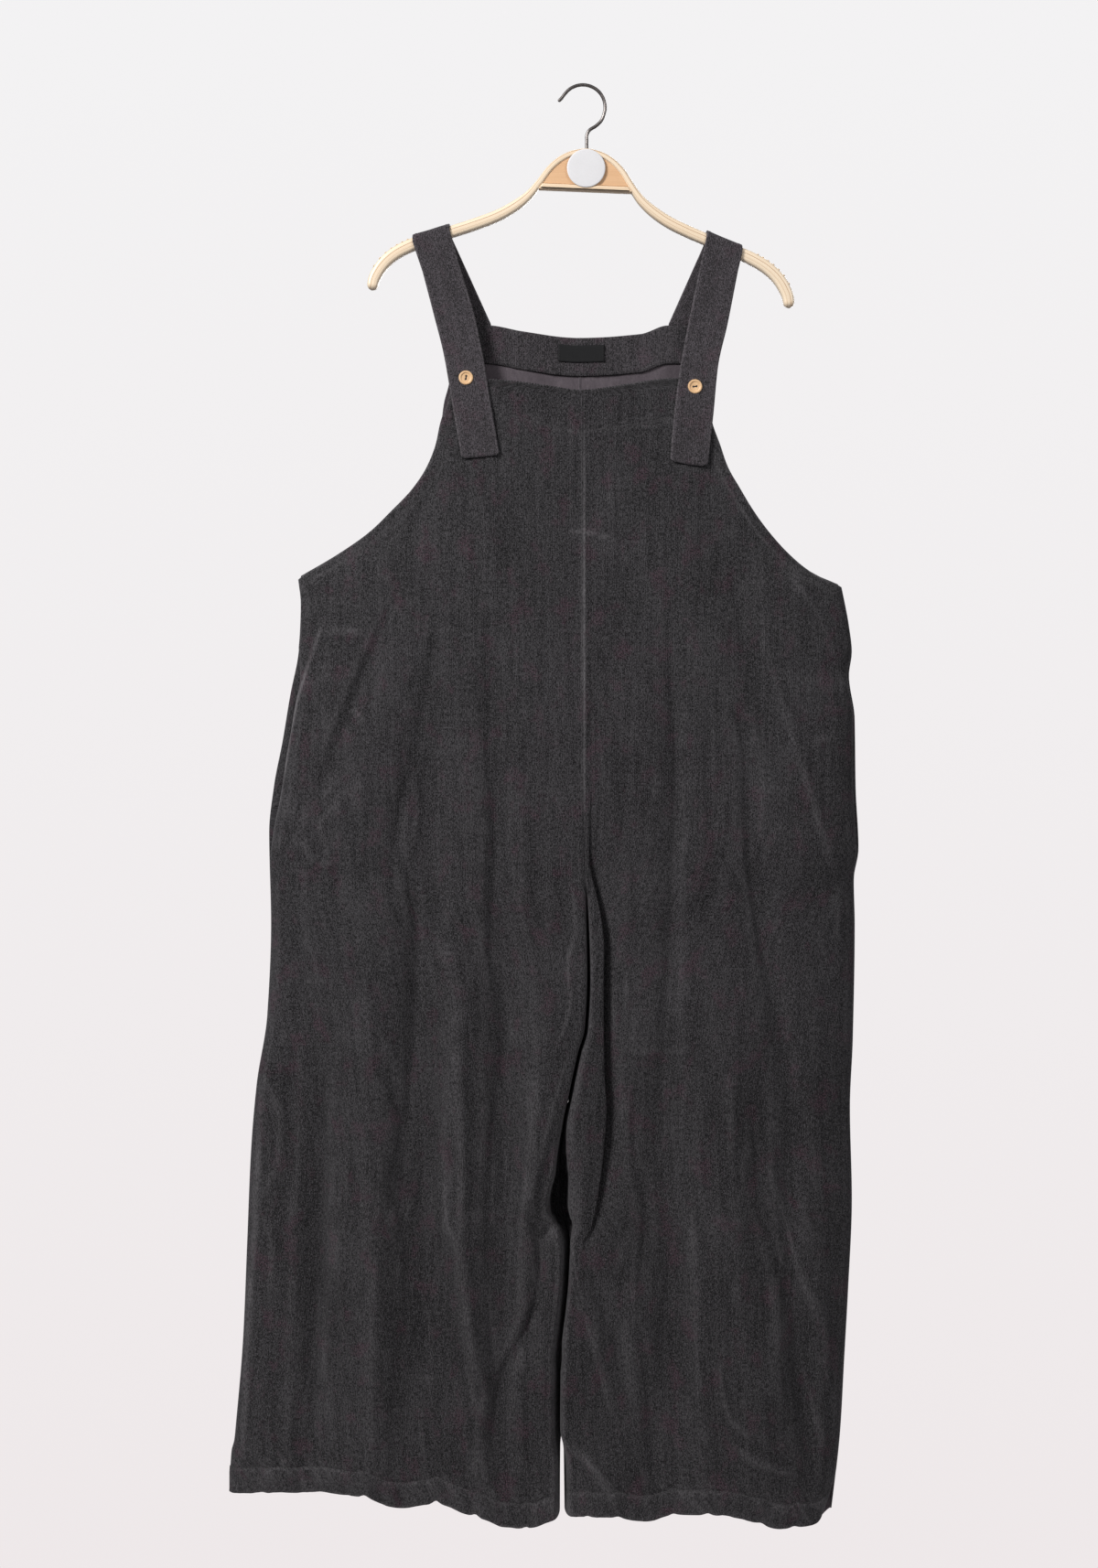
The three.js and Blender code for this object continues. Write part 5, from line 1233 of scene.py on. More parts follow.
def grip_ridges(material):
    """Small ridges across the top of both arms near their tips."""
    vertices, faces = [], []
    for side in (LEFT, RIGHT):
        for x in np.arange(180, 214, 5.2):
            z, thick = float(bow_z(x)), float(bow_thick(x)) / 2
            slope = float(bow_z(x + 1) - bow_z(x - 1)) / 2
            normal = np.array([-slope, 1]) / math.hypot(1, slope)
            along = np.array([normal[1], -normal[0]])
            base = np.array([x, z]) + normal * (thick - 0.25)
            start = len(vertices)
            for y in (-5, -3, 0, 3, 5):
                low = 0.55 if abs(y) == 5 else 1.0
                for angle in np.linspace(0, np.pi, 6):
                    point = base + along * 1.1 * math.cos(angle) + normal * 1.25 * low * math.sin(angle)
                    vertices.append((side * point[0], y, point[1]))
            for r in range(4):
                for k in range(6):
                    a, b = start + r * 6 + k, start + r * 6 + (k + 1) % 6
                    faces.append((a, b, b + 6, a + 6))
            faces.append([start + k for k in range(5, -1, -1)])
            faces.append([start + 24 + k for k in range(6)])
    thing = make_object("grip_ridges", vertices, faces, [material])
    place_hanger(thing)
    tidy_normals(thing)
    return thing


pale_wood = flat_wood("pale_wood", rgb(205, 172, 136), rgb(242, 222, 194), 0)
declare(grip_ridges(pale_wood), "hanger_wood")


def inside_line():
    """Inner line of the strip's right half, from the middle down to the bar."""
    rows = []
    for x in np.linspace(0, 56, 29):
        slope = float(bow_z(x + 0.5) - bow_z(max(0, x - 0.5))) / (1 if x > 0.5 else 0.5 + x)
        normal = np.array([slope, -1]) / math.hypot(1, slope)
        point = np.array([x, float(bow_z(x))]) + normal * (float(bow_thick(x)) / 2 - 0.4)
        rows.append((max(0.0, point[0]), point[1]))
    return rows


BAR_TOP, BAR_THICK = -38.6, 5.6


def bevelled_plate(name, outline, half_depth, bevel, material):
    """A flat plate in the hanger's plane with rounded front and back edges."""
    outline = np.asarray(outline, float)
    centre = outline.mean(axis=0)
    rings = []
    for inset, y in ((bevel, half_depth), (bevel * 0.3, half_depth - bevel * 0.3), (0, half_depth - bevel)):
        rings.append((inset, -y))
    rings += [(inset, -y) for inset, y in reversed(rings)]
    vertices, faces = [], []
    count = len(outline)
    before, after = np.roll(outline, 1, axis=0), np.roll(outline, -1, axis=0)
    tangent = after - before
    normal = np.stack([tangent[:, 1], -tangent[:, 0]], axis=1)
    normal /= np.linalg.norm(normal, axis=1, keepdims=True)
    if ((outline - centre) * normal).sum() < 0:
        normal = -normal
    for inset, y in rings:
        ring = outline - normal * inset
        vertices += [(x, y, z) for x, z in ring]
    for r in range(len(rings) - 1):
        for k in range(count):
            a, b = r * count + k, r * count + (k + 1) % count
            faces.append((a, b, b + count, a + count))
    faces.append(list(range(count))[::-1])
    faces.append([(len(rings) - 1) * count + k for k in range(count)])
    thing = make_object(name, vertices, faces, [material])
    place_hanger(thing)
    tidy_normals(thing)
    thing.data.polygons[-1].use_smooth = False
    thing.data.polygons[-2].use_smooth = False
    return thing


def bar_and_infill():
    inside = inside_line()
    zs = np.array([row[1] for row in inside])
    xs = np.array([row[0] for row in inside])

    def reach(z):
        return float(np.interp(-z, -zs, xs))

    bar = []
    for z in np.linspace(BAR_TOP, BAR_TOP - BAR_THICK, 5):
        bar.append((reach(z), z))
    for share in np.linspace(0.9, -0.9, 15):
        bar.append((share * reach(BAR_TOP - BAR_THICK), BAR_TOP - BAR_THICK))
    for z in np.linspace(BAR_TOP - BAR_THICK, BAR_TOP, 5):
        bar.append((-reach(z), z))
    for share in np.linspace(-0.9, 0.9, 15):
        bar.append((share * reach(BAR_TOP), BAR_TOP))
    piece = bevelled_plate("hanger_bottom_bar", bar, ARM_HALF_DEPTH, 1.6, pale_wood)
    declare(piece, "hanger_wood", "hanger_bar")
    ply = flat_wood("ply", rgb(198, 152, 110), rgb(230, 190, 148), 0, 0.55)
    above = [(x, z) for x, z in inside if z > BAR_TOP + 0.6]
    lowest = (reach(BAR_TOP + 0.3), BAR_TOP + 0.3)
    right = [*above, lowest]
    bottom = [(share * lowest[0], lowest[1]) for share in np.linspace(0.9, -0.9, 13)]
    left = [(-x, z) for x, z in reversed(right)]
    piece = bevelled_plate("hanger_ply_infill", right + bottom + left[:-1], 5.4, 0.3, ply)
    declare(piece, "hanger_ply", "hanger_infill")


bar_and_infill()


def disc():
    """Round card, left plain, lying on the strip and the infill."""
    profile = [(0, 0), (10, 0), (18.4, 0.02), (19.5, 0.12), (20, 0.42), (20, 0.85), (19.6, 1.0)]
    vertices, faces = [(0, 0, 0)], []
    count = 72
    for radius, back in profile[1:]:
        for k in range(count):
            angle = 2 * math.pi * k / count
            vertices.append((radius * math.cos(angle), back, radius * math.sin(angle)))
    for k in range(count):
        faces.append((0, 1 + k, 1 + (k + 1) % count))
    for r in range(len(profile) - 2):
        for k in range(count):
            a, b = 1 + r * count + k, 1 + r * count + (k + 1) % count
            faces.append((a, b, b + count, a + count))
    faces.append([1 + (len(profile) - 2) * count + k for k in range(count)])
    vertices = [(x, y - ARM_HALF_DEPTH - 1.3, z - 21.5) for x, y, z in vertices]
    thing = make_object("plain_disc", vertices, faces, [card_look("card")])
    place_hanger(thing)
    tidy_normals(thing)
    declare(thing, "disc_card", "hanger_disc")


disc()


def hook():
    """The wire hook: round over the peg, flared at its tip, straight into the wood."""
    points = [(-22, -15.3), (-18.6, -12.2)]
    for degrees in np.arange(145, -10.1, -15.5):
        angle = math.radians(degrees)
        points.append((3.8 + 23.3 * math.cos(angle), -21.2 + 23.3 * math.sin(angle)))
    points += [(23.6, -34.5), (17.5, -40.8), (11, -45), (8.2, -50.5), (8, -57), (8, -67.5)]
    line = catmull(points, 14)
    line = even_spacing(line, 0.9)
    centres = np.stack([line[:, 0], np.zeros(len(line)), line[:, 1]], axis=1)
    distance = np.concatenate([[0], np.cumsum(np.linalg.norm(np.diff(line, axis=0), axis=1))])
    tip = np.sqrt(1 - np.clip(1 - distance / 1.8, 0, 1) ** 2)
    radius = WIRE_RADIUS * np.maximum(tip, 0.15)
    thing = tube("hook_wire", centres, np.stack([radius, radius], axis=1), 20, steel_look("steel"))
    declare(thing, "hook_steel", "hanger_hook")


def catmull(points, steps):
    points = np.asarray(points, float)
    padded = np.vstack([2 * points[0] - points[1], points, 2 * points[-1] - points[-2]])
    out = []
    for i in range(1, len(padded) - 2):
        p0, p1, p2, p3 = padded[i - 1:i + 3]
        for t in np.linspace(0, 1, steps, endpoint=False):
            out.append(0.5 * (2 * p1 + (p2 - p0) * t + (2 * p0 - 5 * p1 + 4 * p2 - p3) * t ** 2
                              + (3 * p1 - p0 - 3 * p2 + p3) * t ** 3))
    out.append(points[-1])
    return np.array(out)


def even_spacing(points, spacing):
    along = np.concatenate([[0], np.cumsum(np.linalg.norm(np.diff(points, axis=0), axis=1))])
    at = np.linspace(0, along[-1], max(2, int(along[-1] / spacing)))
    return np.stack([np.interp(at, along, points[:, k]) for k in range(points.shape[1])], axis=1)


hook()

# Straps, from the front end up to the hanger: outer edge x and z, inner edge x and z
STRAP_FRONT = {
    LEFT: [(-121.3, -389.4, -83.7, -385.7), (-130.8, -335, -92.3, -335), (-140, -281.4, -101.2, -281.4),
           (-151.1, -237.1, -110.8, -237.1), (-162.2, -194.6, -123.7, -194.6)],
    RIGHT: [(132.3, -398, 95, -392.5), (138.5, -343.8, 99.3, -343.8), (143.3, -294.3, 105.8, -294.3),
            (153.6, -248.2, 114.5, -248.2), (164, -195, 125.5, -195)],
}
STRAP_BASE = {LEFT: (-132, -92.5), RIGHT: (133, 94)}
STRAP_ON_ARM = {LEFT: (-176.5, -140), RIGHT: (165.5, 129)}
STRAP_COLUMNS = np.array(
    [0, 0.02, 0.045, 0.075, 0.11, 0.2, 0.35, 0.5, 0.65, 0.8, 0.89, 0.925, 0.955, 0.98, 1])
STRAP_FRONT_ROWS = 90
LAY = 0.15


def arm_under_strap(side, across):
    outer, inner = STRAP_ON_ARM[side]
    local = mix(outer, inner, across)
    centre = bow_z(np.abs(local))
    slope = (bow_z(np.abs(local) + 3) - centre) / 3
    half = bow_thick(np.abs(local)) / 2 * np.hypot(1, slope)
    x, z = hanger_to_world(local, centre)
    return x, z, half


def strap_grid(side):
    """The middle surface of a strap, from its front end over the arm to the back."""
    offset = STRAP / 2 + 0.3 + LAY
    arm_y = ARM_HALF_DEPTH + offset
    bib_top = -306
    table = STRAP_FRONT[side]
    edges = [curve([(i, row[k]) for i, row in enumerate(table)]) for k in range(4)]
    rows = []
    for at in np.linspace(0, len(table) - 1, STRAP_FRONT_ROWS):
        outer_x_, outer_z, inner_x_, inner_z = [float(edge(at)) for edge in edges]
        x = mix(outer_x_, inner_x_, STRAP_COLUMNS)
        z = mix(outer_z, inner_z, STRAP_COLUMNS)
        on_bib = stand_off(side, FRONT, x, np.minimum(z, bib_top - 6), False)
        on_bib = on_bib + CLOTH / 2 + 0.5 + 0.3 + STRAP / 2 + 2 * LAY
        free = smooth(bib_top + 4, bib_top + 45, z)
        sway = 0.5 * np.sin(z / 17 + side) * (1 - free)
        rows.append(np.stack([x, -mix(on_bib + 0.3 + 0.3 * sway, arm_y + 0.6, free), z], axis=1))
    x, z, half = arm_under_strap(side, STRAP_COLUMNS)
    for degrees in np.arange(4, 177, 7):
        angle = math.radians(degrees)
        cos = math.copysign(abs(math.cos(angle)) ** 0.66, math.cos(angle))
        sin = math.sin(angle) ** 0.66
        rows.append(np.stack([x, -arm_y * cos + 0 * x, z + (half + offset) * sin], axis=1))
    base_x = mix(STRAP_BASE[side][0], STRAP_BASE[side][1], STRAP_COLUMNS)
    base_z = top_edge[BACK](base_x) + 0.5
    for share in np.linspace(0.02, 1, 44):
        y = mix(arm_y, full_depth[BACK](base_z), share)
        rows.append(np.stack([mix(x, base_x, share), y, mix(z, base_z, share)], axis=1))
    return round_end(np.array(rows), side)


def round_end(points, side):
    """Rounds the corners of the strap's front end."""
    corner = 4.0 if side == RIGHT else 2.0
    width = np.linalg.norm(points[0, -1] - points[0, 0])
    for r in range(8):
        from_end = np.linalg.norm(points[r, 7] - points[0, 7])
        if from_end >= corner:
            continue
        inset = corner - math.sqrt(max(0.0, corner ** 2 - (corner - from_end) ** 2))
        share = inset / width
        columns = share + STRAP_COLUMNS * (1 - 2 * share)
        start, end = points[r, 0].copy(), points[r, -1].copy()
        points[r] = start + (end - start) * columns[:, None]
    return points


def strap(side):
    points = strap_grid(side)
    normals = grid_normals(points)
    if side == LEFT:
        normals = -normals
    width = STRAP_COLUMNS[None, :]
    along = arc_lengths(points, 0)[:, 7:8]
    edge_gap = np.minimum(width, 1 - width) * STRAP_WIDTH
    relief = -0.45 * np.exp(-(((edge_gap - 3.0) / 1.0) ** 2)) - 0.25 * np.exp(-((edge_gap / 1.2) ** 2))
    ripple = value_noise(along / 22 + 0 * width, width * 4 + 0 * along, 101 + side)
    relief = relief + 0.35 * ripple + 0.2 * value_noise(along / 6, edge_gap / 9, 103 + side)
    relief[-14:] *= np.linspace(1, 0, 14)[:, None]
    points = points + normals * relief[:, :, None]
    uv = np.stack([width * STRAP_WIDTH + 0 * along, along + 0 * width], axis=2)
    wear_and_highlight = 0.5 * np.exp(-((edge_gap / 1.2) ** 2)) + 0 * along
    wear_and_highlight = wear_and_highlight * (0.7 + 0.3 * value_noise(along / 8, width * 3 + 0 * along, 107))
    name = SIDE_NAMES[side]
    thing = sheet_object(f"strap_cloth_{name}", points, STRAP, [strap_cord], uv, wear_and_highlight, normals)
    tidy_normals(thing)
    declare(thing, "needlecord_strap", f"strap_{name}")
    return points, normals


straps = {side: strap(side) for side in SIDE_NAMES}

# Stitches: a long bead for each, laid along a path on the cloth
BEAD_RINGS = ((-1.0, 0.25), (-0.75, 0.8), (0.0, 1.0), (0.75, 0.8), (1.0, 0.25))
BEAD_SIDES = 6


def stitch_row(name, paths, length, gap, radius, material, slot, lean=0.0, depth=0.35):
    """One object with the stitches of several paths. A path is its points and its surface normals."""
    vertices, faces = [], []
    angles = np.arange(BEAD_SIDES) / BEAD_SIDES * 2 * np.pi
    for points, normals in paths:
        steps = np.linalg.norm(np.diff(points, axis=0), axis=1)
        along = np.concatenate([[0], np.cumsum(steps)])
        centres = np.arange(length / 2, along[-1] - length / 2, length + gap)
        if not len(centres):
            continue
        place = np.stack([np.interp(centres, along, points[:, k]) for k in range(3)], axis=1)
        ahead = np.stack([np.interp(centres + 0.5, along, points[:, k]) for k in range(3)], axis=1)
        behind = np.stack([np.interp(centres - 0.5, along, points[:, k]) for k in range(3)], axis=1)
        up = np.stack([np.interp(centres, along, normals[:, k]) for k in range(3)], axis=1)
        tangent = ahead - behind
        tangent /= np.linalg.norm(tangent, axis=1, keepdims=True)
        up -= tangent * (up * tangent).sum(axis=1, keepdims=True)
        up /= np.linalg.norm(up, axis=1, keepdims=True)
        across = np.cross(tangent, up)
        if lean:
            tangent = tangent * math.cos(lean) + across * math.sin(lean)
            across = np.cross(tangent, up)
        rings = []
        for share, size in BEAD_RINGS:
            centre = place + tangent * share * length / 2 + up * radius * (size - 1 + depth)
            ring = centre[:, None, :] + across[:, None, :] * (radius * size * np.cos(angles))[None, :, None]
            ring = ring + up[:, None, :] * (radius * 0.8 * size * np.sin(angles))[None, :, None]
            rings.append(ring)
        block = np.stack(rings, axis=1)
        per = len(BEAD_RINGS) * BEAD_SIDES
        start = len(vertices)
        vertices.extend(block.reshape(-1, 3).tolist())
        template = []
        for r in range(len(BEAD_RINGS) - 1):
            for k in range(BEAD_SIDES):
                a, b = r * BEAD_SIDES + k, r * BEAD_SIDES + (k + 1) % BEAD_SIDES
                template.append((a, b, b + BEAD_SIDES, a + BEAD_SIDES))
        ends = [list(range(BEAD_SIDES))[::-1], [per - BEAD_SIDES + k for k in range(BEAD_SIDES)]]
        for n in range(len(centres)):
            base = start + n * per
            faces.extend([tuple(base + i for i in quad) for quad in template])
            faces.extend([tuple(base + i for i in end) for end in ends])
    thing = make_object(name, vertices, faces, [material])
    tidy_normals(thing)
    return declare(thing, slot)


def skin_tree(thing):
    """A search tree of a piece's faces, to find places on its skin."""
    mesh = thing.data
    corners = [vertex.co for vertex in mesh.vertices]
    return BVHTree.FromPolygons(corners, [tuple(polygon.vertices) for polygon in mesh.polygons])


panel_trees = {key: skin_tree(piece) for key, piece in panels.items()}
NORMAL_SPAN = 5


def on_panel(side, face, x, z):
    """Points and evened normals on a panel's outer skin, seen from outside."""
    points, normals = [], []
    for px, pz in zip(x, z):
        start = Vector((px * MM, face * 0.3, pz * MM))
        place, normal, _, _ = panel_trees[side, face].ray_cast(start, Vector((0, -face, 0)))
        if place is not None:
            points.append(np.array(place) / MM)
            normals.append(np.array(normal) * (1 if normal.y * face > 0 else -1))
    normals = np.array(normals)
    padded = np.pad(normals, ((NORMAL_SPAN // 2, NORMAL_SPAN // 2), (0, 0)), mode="edge")
    evened = sum(padded[k:k + len(normals)] for k in range(NORMAL_SPAN))
    return np.array(points), evened / np.linalg.norm(evened, axis=1, keepdims=True)


def dense(points, spacing=1.5):
    return even_spacing(np.asarray(points, float), spacing)


def armhole_stitches(side, face):
    """Path a hem's width inside the armhole's edge."""
    edge = armhole_line(side, face)
    step = np.gradient(edge, axis=0)
    step /= np.linalg.norm(step, axis=1, keepdims=True)
    inward = np.stack([step[:, 1], -step[:, 0]], axis=1) * side
    line = edge + inward * ARMHOLE_HEM
    keep = np.abs(line[:, 0]) < np.abs(outline_x(side, face, line[:, 1])) - 4
    line = dense(line[keep])
    return on_panel(side, face, line[:, 0], line[:, 1])


def hem_stitches(side, face):
    start = inner_x(side, face, np.array(-1450.0)) + side * 5
    end = outer_x(side, face, np.array(-1450.0)) - side * 7
    x = np.linspace(float(start), float(end), 240)
    z = hem_edge(side, x) + LEG_HEM
    line = dense(np.stack([x, z], axis=1))
    return on_panel(side, face, line[:, 0], line[:, 1])


def seam_stitches(side, face, offset, top, bottom):
    z = np.arange(top, bottom, -1.5)
    x = seam_x[face](z) + side * offset
    return on_panel(side, face, x, z)


def facing_stitches():
    paths = []
    for side, low, high in ((LEFT, -140, 3), (RIGHT, 6, 136)):
        x = np.arange(low, high, 1.5)
        z = np.interp(x, facing_line[:, 0], facing_line[:, 1])
        inside = np.abs(x) < np.abs(outline_x(side, FRONT, z)) - 3
        paths.append(on_panel(side, FRONT, x[inside], z[inside]))
    return paths


def edge_ticks_painted_shade():
    """Short dark threads over the bib's top edge where the facing is caught down; their darkness also paints
    the shade between the wales that ripple over the edge.
    """
    paths = []
    random = np.random.RandomState(151)
    for x in np.arange(-84, 90, TICK_SPACING):
        side = LEFT if x < float(seam_x[FRONT](-316.0)) else RIGHT
        x = x + random.uniform(-0.5, 0.5)
        top = float(top_edge[FRONT](x)) - 0.8
        heights = np.linspace(top, top - random.uniform(4.0, 7.0), 7)
        paths.append(on_panel(side, FRONT, np.full(7, x), heights))
    return [path for path in paths if len(path[0]) > 1]


seam_paths = [seam_stitches(LEFT, FRONT, 2.0, -362, -760), seam_stitches(RIGHT, FRONT, 2.2, -362, -745)]
seam_paths += [seam_stitches(LEFT, BACK, 2.0, -264, -1120), seam_stitches(RIGHT, BACK, 2.2, -264, -1120)]
stitch_row("centre_seam_stitches", seam_paths, 2.5, 0.9, 0.34, seam_thread, "needlecord")
hem_paths = [hem_stitches(side, face) for side in SIDE_NAMES for face in FACE_NAMES]
stitch_row("hem_stitches", hem_paths, 2.6, 0.9, 0.34, seam_thread, "needlecord")
armhole_paths = [armhole_stitches(side, face) for side in SIDE_NAMES for face in FACE_NAMES]
stitch_row("armhole_stitches", armhole_paths, 2.6, 0.9, 0.32, seam_thread, "needlecord")
# Dark ticks over the bib's top edge: thread that also paints shade between the rippled wales.
stitch_row("bib_edge_stitches_painted_shade", edge_ticks_painted_shade(), 3.6, 0.4, 0.42, dark_thread, "needlecord")
stitch_row("front_facing_stitches", facing_stitches(), 2.6, 1.0, 0.36, seam_thread, "needlecord")


def strap_edge_paths(side):
    points, normals = straps[side]
    paths = []
    for column in (3, -4):
        rows = slice(1, None)
        place = points[rows, column] + normals[rows, column] * STRAP / 2
        paths.append((place, normals[rows, column]))
    end = points[2, 3:-3] + normals[2, 3:-3] * STRAP / 2
    paths.append((end, normals[2, 3:-3]))
    return paths


for side_, name_ in SIDE_NAMES.items():
    edge_paths = strap_edge_paths(side_)
    stitch_row(f"strap_stitches_{name_}", edge_paths, 2.4, 0.9, 0.32, seam_thread, "needlecord_strap")


def strap_point(side, x, z):
    """The front skin of a strap at x and z: point and normal."""
    points, normals = straps[side]
    run = points[:STRAP_FRONT_ROWS]
    gap = np.hypot(run[:, :, 0] - x, run[:, :, 2] - z)
    r, c = np.unravel_index(gap.argmin(), gap.shape)
    return run[r, c] + normals[r, c] * STRAP / 2, normals[r, c]


BUTTON_AT = {LEFT: (-117.8, -305.4), RIGHT: (120.3, -314.6)}
BUTTON_RADIUS = 7.5
HOLE_APART = 3.2


def button_surface(radius, hole_gap):
    """Height of a button's face over its flat back."""
    share = radius / BUTTON_RADIUS
    rim = 2.9 - 1.3 * smooth(0.93, 1.0, share) - 0.9 * smooth(0.74, 0.62, share)
    dish = 0.12 * np.cos(np.pi * np.clip(share / 0.62, 0, 1))
    return rim - dish - 1.9 * smooth(1.15, 0.55, hole_gap)


def button(side, angle):
    """A turned wooden button: rounded rim, dished face, two holes sewn through with dark thread."""
    x0, z0 = BUTTON_AT[side]
    seat, normal = strap_point(side, x0, z0)
    rings = np.array([0.0, 0.35, 0.7, 1.0, 1.3, 1.6, 1.9, 2.2, 2.5, 2.9, 3.5, 4.2, 4.7, 5.1, 5.5, 6.0, 6.5,
                      6.95, 7.2, 7.4, 7.5])
    count = 72
    angles = np.arange(count) / count * 2 * np.pi
    holes = []
    for sign in (-1, 1):
        holes.append((sign * HOLE_APART / 2 * math.cos(angle), sign * HOLE_APART / 2 * math.sin(angle)))
    gx, gz = rings[:, None] * np.cos(angles), rings[:, None] * np.sin(angles)
    gap = np.minimum(*[np.hypot(gx - hx, gz - hz) for hx, hz in holes])
    height = button_surface(rings[:, None] + 0 * gx, gap)
    front = np.stack([x0 + gx, seat[1] - 0.35 - height, z0 + gz], axis=2)
    backs = [(7.5, 1.1), (7.3, 0.4), (6.8, 0.05), (0.0, 0.0)]
    rows = [front]
    for radius, rise in backs:
        ring = np.stack([x0 + radius * np.cos(angles), np.full(count, seat[1] - 0.35 - rise),
                         z0 + radius * np.sin(angles)], axis=1)
        rows.append(ring[None])
    grid = np.concatenate(rows)
    index = np.arange(grid.shape[0] * count).reshape(-1, count)
    nxt = np.roll(index, -1, axis=1)
    faces = np.stack([index[:-1], nxt[:-1], nxt[1:], index[1:]], axis=-1).reshape(-1, 4).tolist()
    name = SIDE_NAMES[side]
    thing = make_object(f"wooden_button_{name}", grid.reshape(-1, 3), faces, [button_wood])
    tidy_normals(thing, merge=True)
    declare(thing, "button_wood", f"button_{name}")
    top = seat[1] - 0.35 - 1.9
    start, end = np.array(holes[0]), np.array(holes[1])
    paths = []
    for offset in (-0.28, 0.05, 0.34):
        sideways = np.array([-(end - start)[1], (end - start)[0]]) / HOLE_APART * offset
        shares = np.linspace(-0.05, 1.05, 9)
        flat = start + (end - start) * shares[:, None] + sideways
        rise = 1.1 * np.clip(1 - (2 * shares - 1) ** 2, 0, 1) ** 0.5 - 0.9
        paths.append(np.stack([x0 + flat[:, 0], top - rise, z0 + flat[:, 1]], axis=1))
    strands(f"button_thread_{name}", paths, 0.27)


def strands(name, paths, radius):
    """Thin tubes along the paths."""
    vertices, faces = [], []
    sides = 8
    for path in paths:
        along = np.gradient(path, axis=0)
        along /= np.linalg.norm(along, axis=1, keepdims=True)
        side_ = np.cross(along, np.array([0.0, 1.0, 0.0]))
        side_ /= np.maximum(np.linalg.norm(side_, axis=1, keepdims=True), 1e-9)
        up = np.cross(side_, along)
        start = len(vertices)
        for centre, s, u in zip(path, side_, up):
            for k in range(sides):
                angle = 2 * math.pi * k / sides
                vertices.append(centre + radius * (s * math.cos(angle) + u * math.sin(angle)))
        for r in range(len(path) - 1):
            for k in range(sides):
                a, b = start + r * sides + k, start + r * sides + (k + 1) % sides
                faces.append((a, b, b + sides, a + sides))
        faces.append([start + k for k in range(sides)][::-1])
        faces.append([start + (len(path) - 1) * sides + k for k in range(sides)])
    thing = make_object(name, vertices, faces, [dark_thread])
    tidy_normals(thing)
    return declare(thing, "needlecord")


button_wood = flat_wood("button_wood", rgb(196, 150, 104), rgb(236, 203, 160), 2, 0.45)
button(LEFT, math.radians(80))
button(RIGHT, math.radians(8))


def buttonhole(side, top, bottom):
    """A sewn slit: short stitches close together down both sides, and bars at its ends."""
    (x1, z1), (x2, z2) = from_picture([top, bottom])
    paths = []
    for offset in (-0.85, 0.85):
        for share in np.linspace(0, 1, 30):
            x, z = mix(x1, x2, share), mix(z1, z2, share)
            start, normal = strap_point(side, x, z)
            start = np.array([x + offset - 0.75, start[1], z])
            end = np.array([x + offset + 0.75, start[1], z + 0.1])
            paths.append((np.stack([start, end]), np.stack([normal, normal])))
    for x, z in ((x1, z1 + 0.6), (x2, z2 - 0.6)):
        seat, normal = strap_point(side, x, z)
        for dz in (-0.3, 0.3):
            ends = np.array([[x - 1.5, seat[1], z + dz], [x + 1.5, seat[1], z + dz]])
            paths.append((ends, np.stack([normal, normal])))
    name = f"buttonhole_{SIDE_NAMES[side]}"
    stitch_row(name, paths, 1.45, 0.2, 0.34, pale_thread, "needlecord_strap", 0, 0.1)


buttonhole(LEFT, (517, 449), (518.5, 469))
buttonhole(RIGHT, (755.5, 446), (753.5, 467))


def inside_back(left, right, spans, downs, inward, thickness, name, materials, wear_and_highlight=None):
    """A patch of cloth inside the back's top edge."""
    x = np.linspace(left, right, spans)
    rows = []
    for down in downs:
        z = top_edge[BACK](x) - 0.5 - down * FACING_DEPTH
        side = np.where(x < seam_x[BACK](z), LEFT, RIGHT)
        off = np.where(side == LEFT, stand_off(LEFT, BACK, x, z, False), stand_off(RIGHT, BACK, x, z, False))
        off = off - inward + 0.25 * value_noise(x / 11, z / 30, 121)
        rows.append(np.stack([x, off, z], axis=1))
    points = np.array(rows)
    uv = np.stack([points[:, :, 0], points[:, :, 2]], axis=2)
    thing = sheet_object(name, points, thickness, materials, uv, wear_and_highlight)
    tidy_normals(thing)
    return thing, points


facing_inward = CLOTH / 2 + 0.3 + FACING / 2 + 0.6
facing, facing_points = inside_back(
    -131, 132, 90, np.linspace(0, 1, 16), facing_inward, FACING, "neck_facing_cloth", [facing_cord])
declare(facing, "needlecord_strap", "back_neck_facing")
facing_row = facing_points[-2][4:-4] + np.array([0, -FACING / 2, 0])
facing_up = np.tile([0.0, -1.0, 0.0], (len(facing_row), 1))
facing_paths = [(facing_row, facing_up)]
stitch_row("neck_facing_stitches", facing_paths, 2.6, 0.9, 0.32, seam_thread, "needlecord_strap")
label_inward = facing_inward + FACING / 2 + 0.5 + 0.4
LABEL_MIDDLE, LABEL_HALF, LABEL_THICK = 2.3, 24, 0.8
label, label_points = inside_back(
    LABEL_MIDDLE - LABEL_HALF, LABEL_MIDDLE + LABEL_HALF, 40, np.linspace(0.2, 0.64, 12),
    label_inward, LABEL_THICK, "bare_label", [label_look("label")])
declare(label, "neck_tape", "neck_label")
label_ends = []
for column in (1, -2):
    ends_ = label_points[1:-1, column] + np.array([0, -0.4, 0])
    label_ends.append((ends_, np.tile([0.0, -1.0, 0.0], (len(ends_), 1))))
stitch_row("label_stitches", label_ends, 2.0, 0.8, 0.25, dark_thread, "neck_tape")

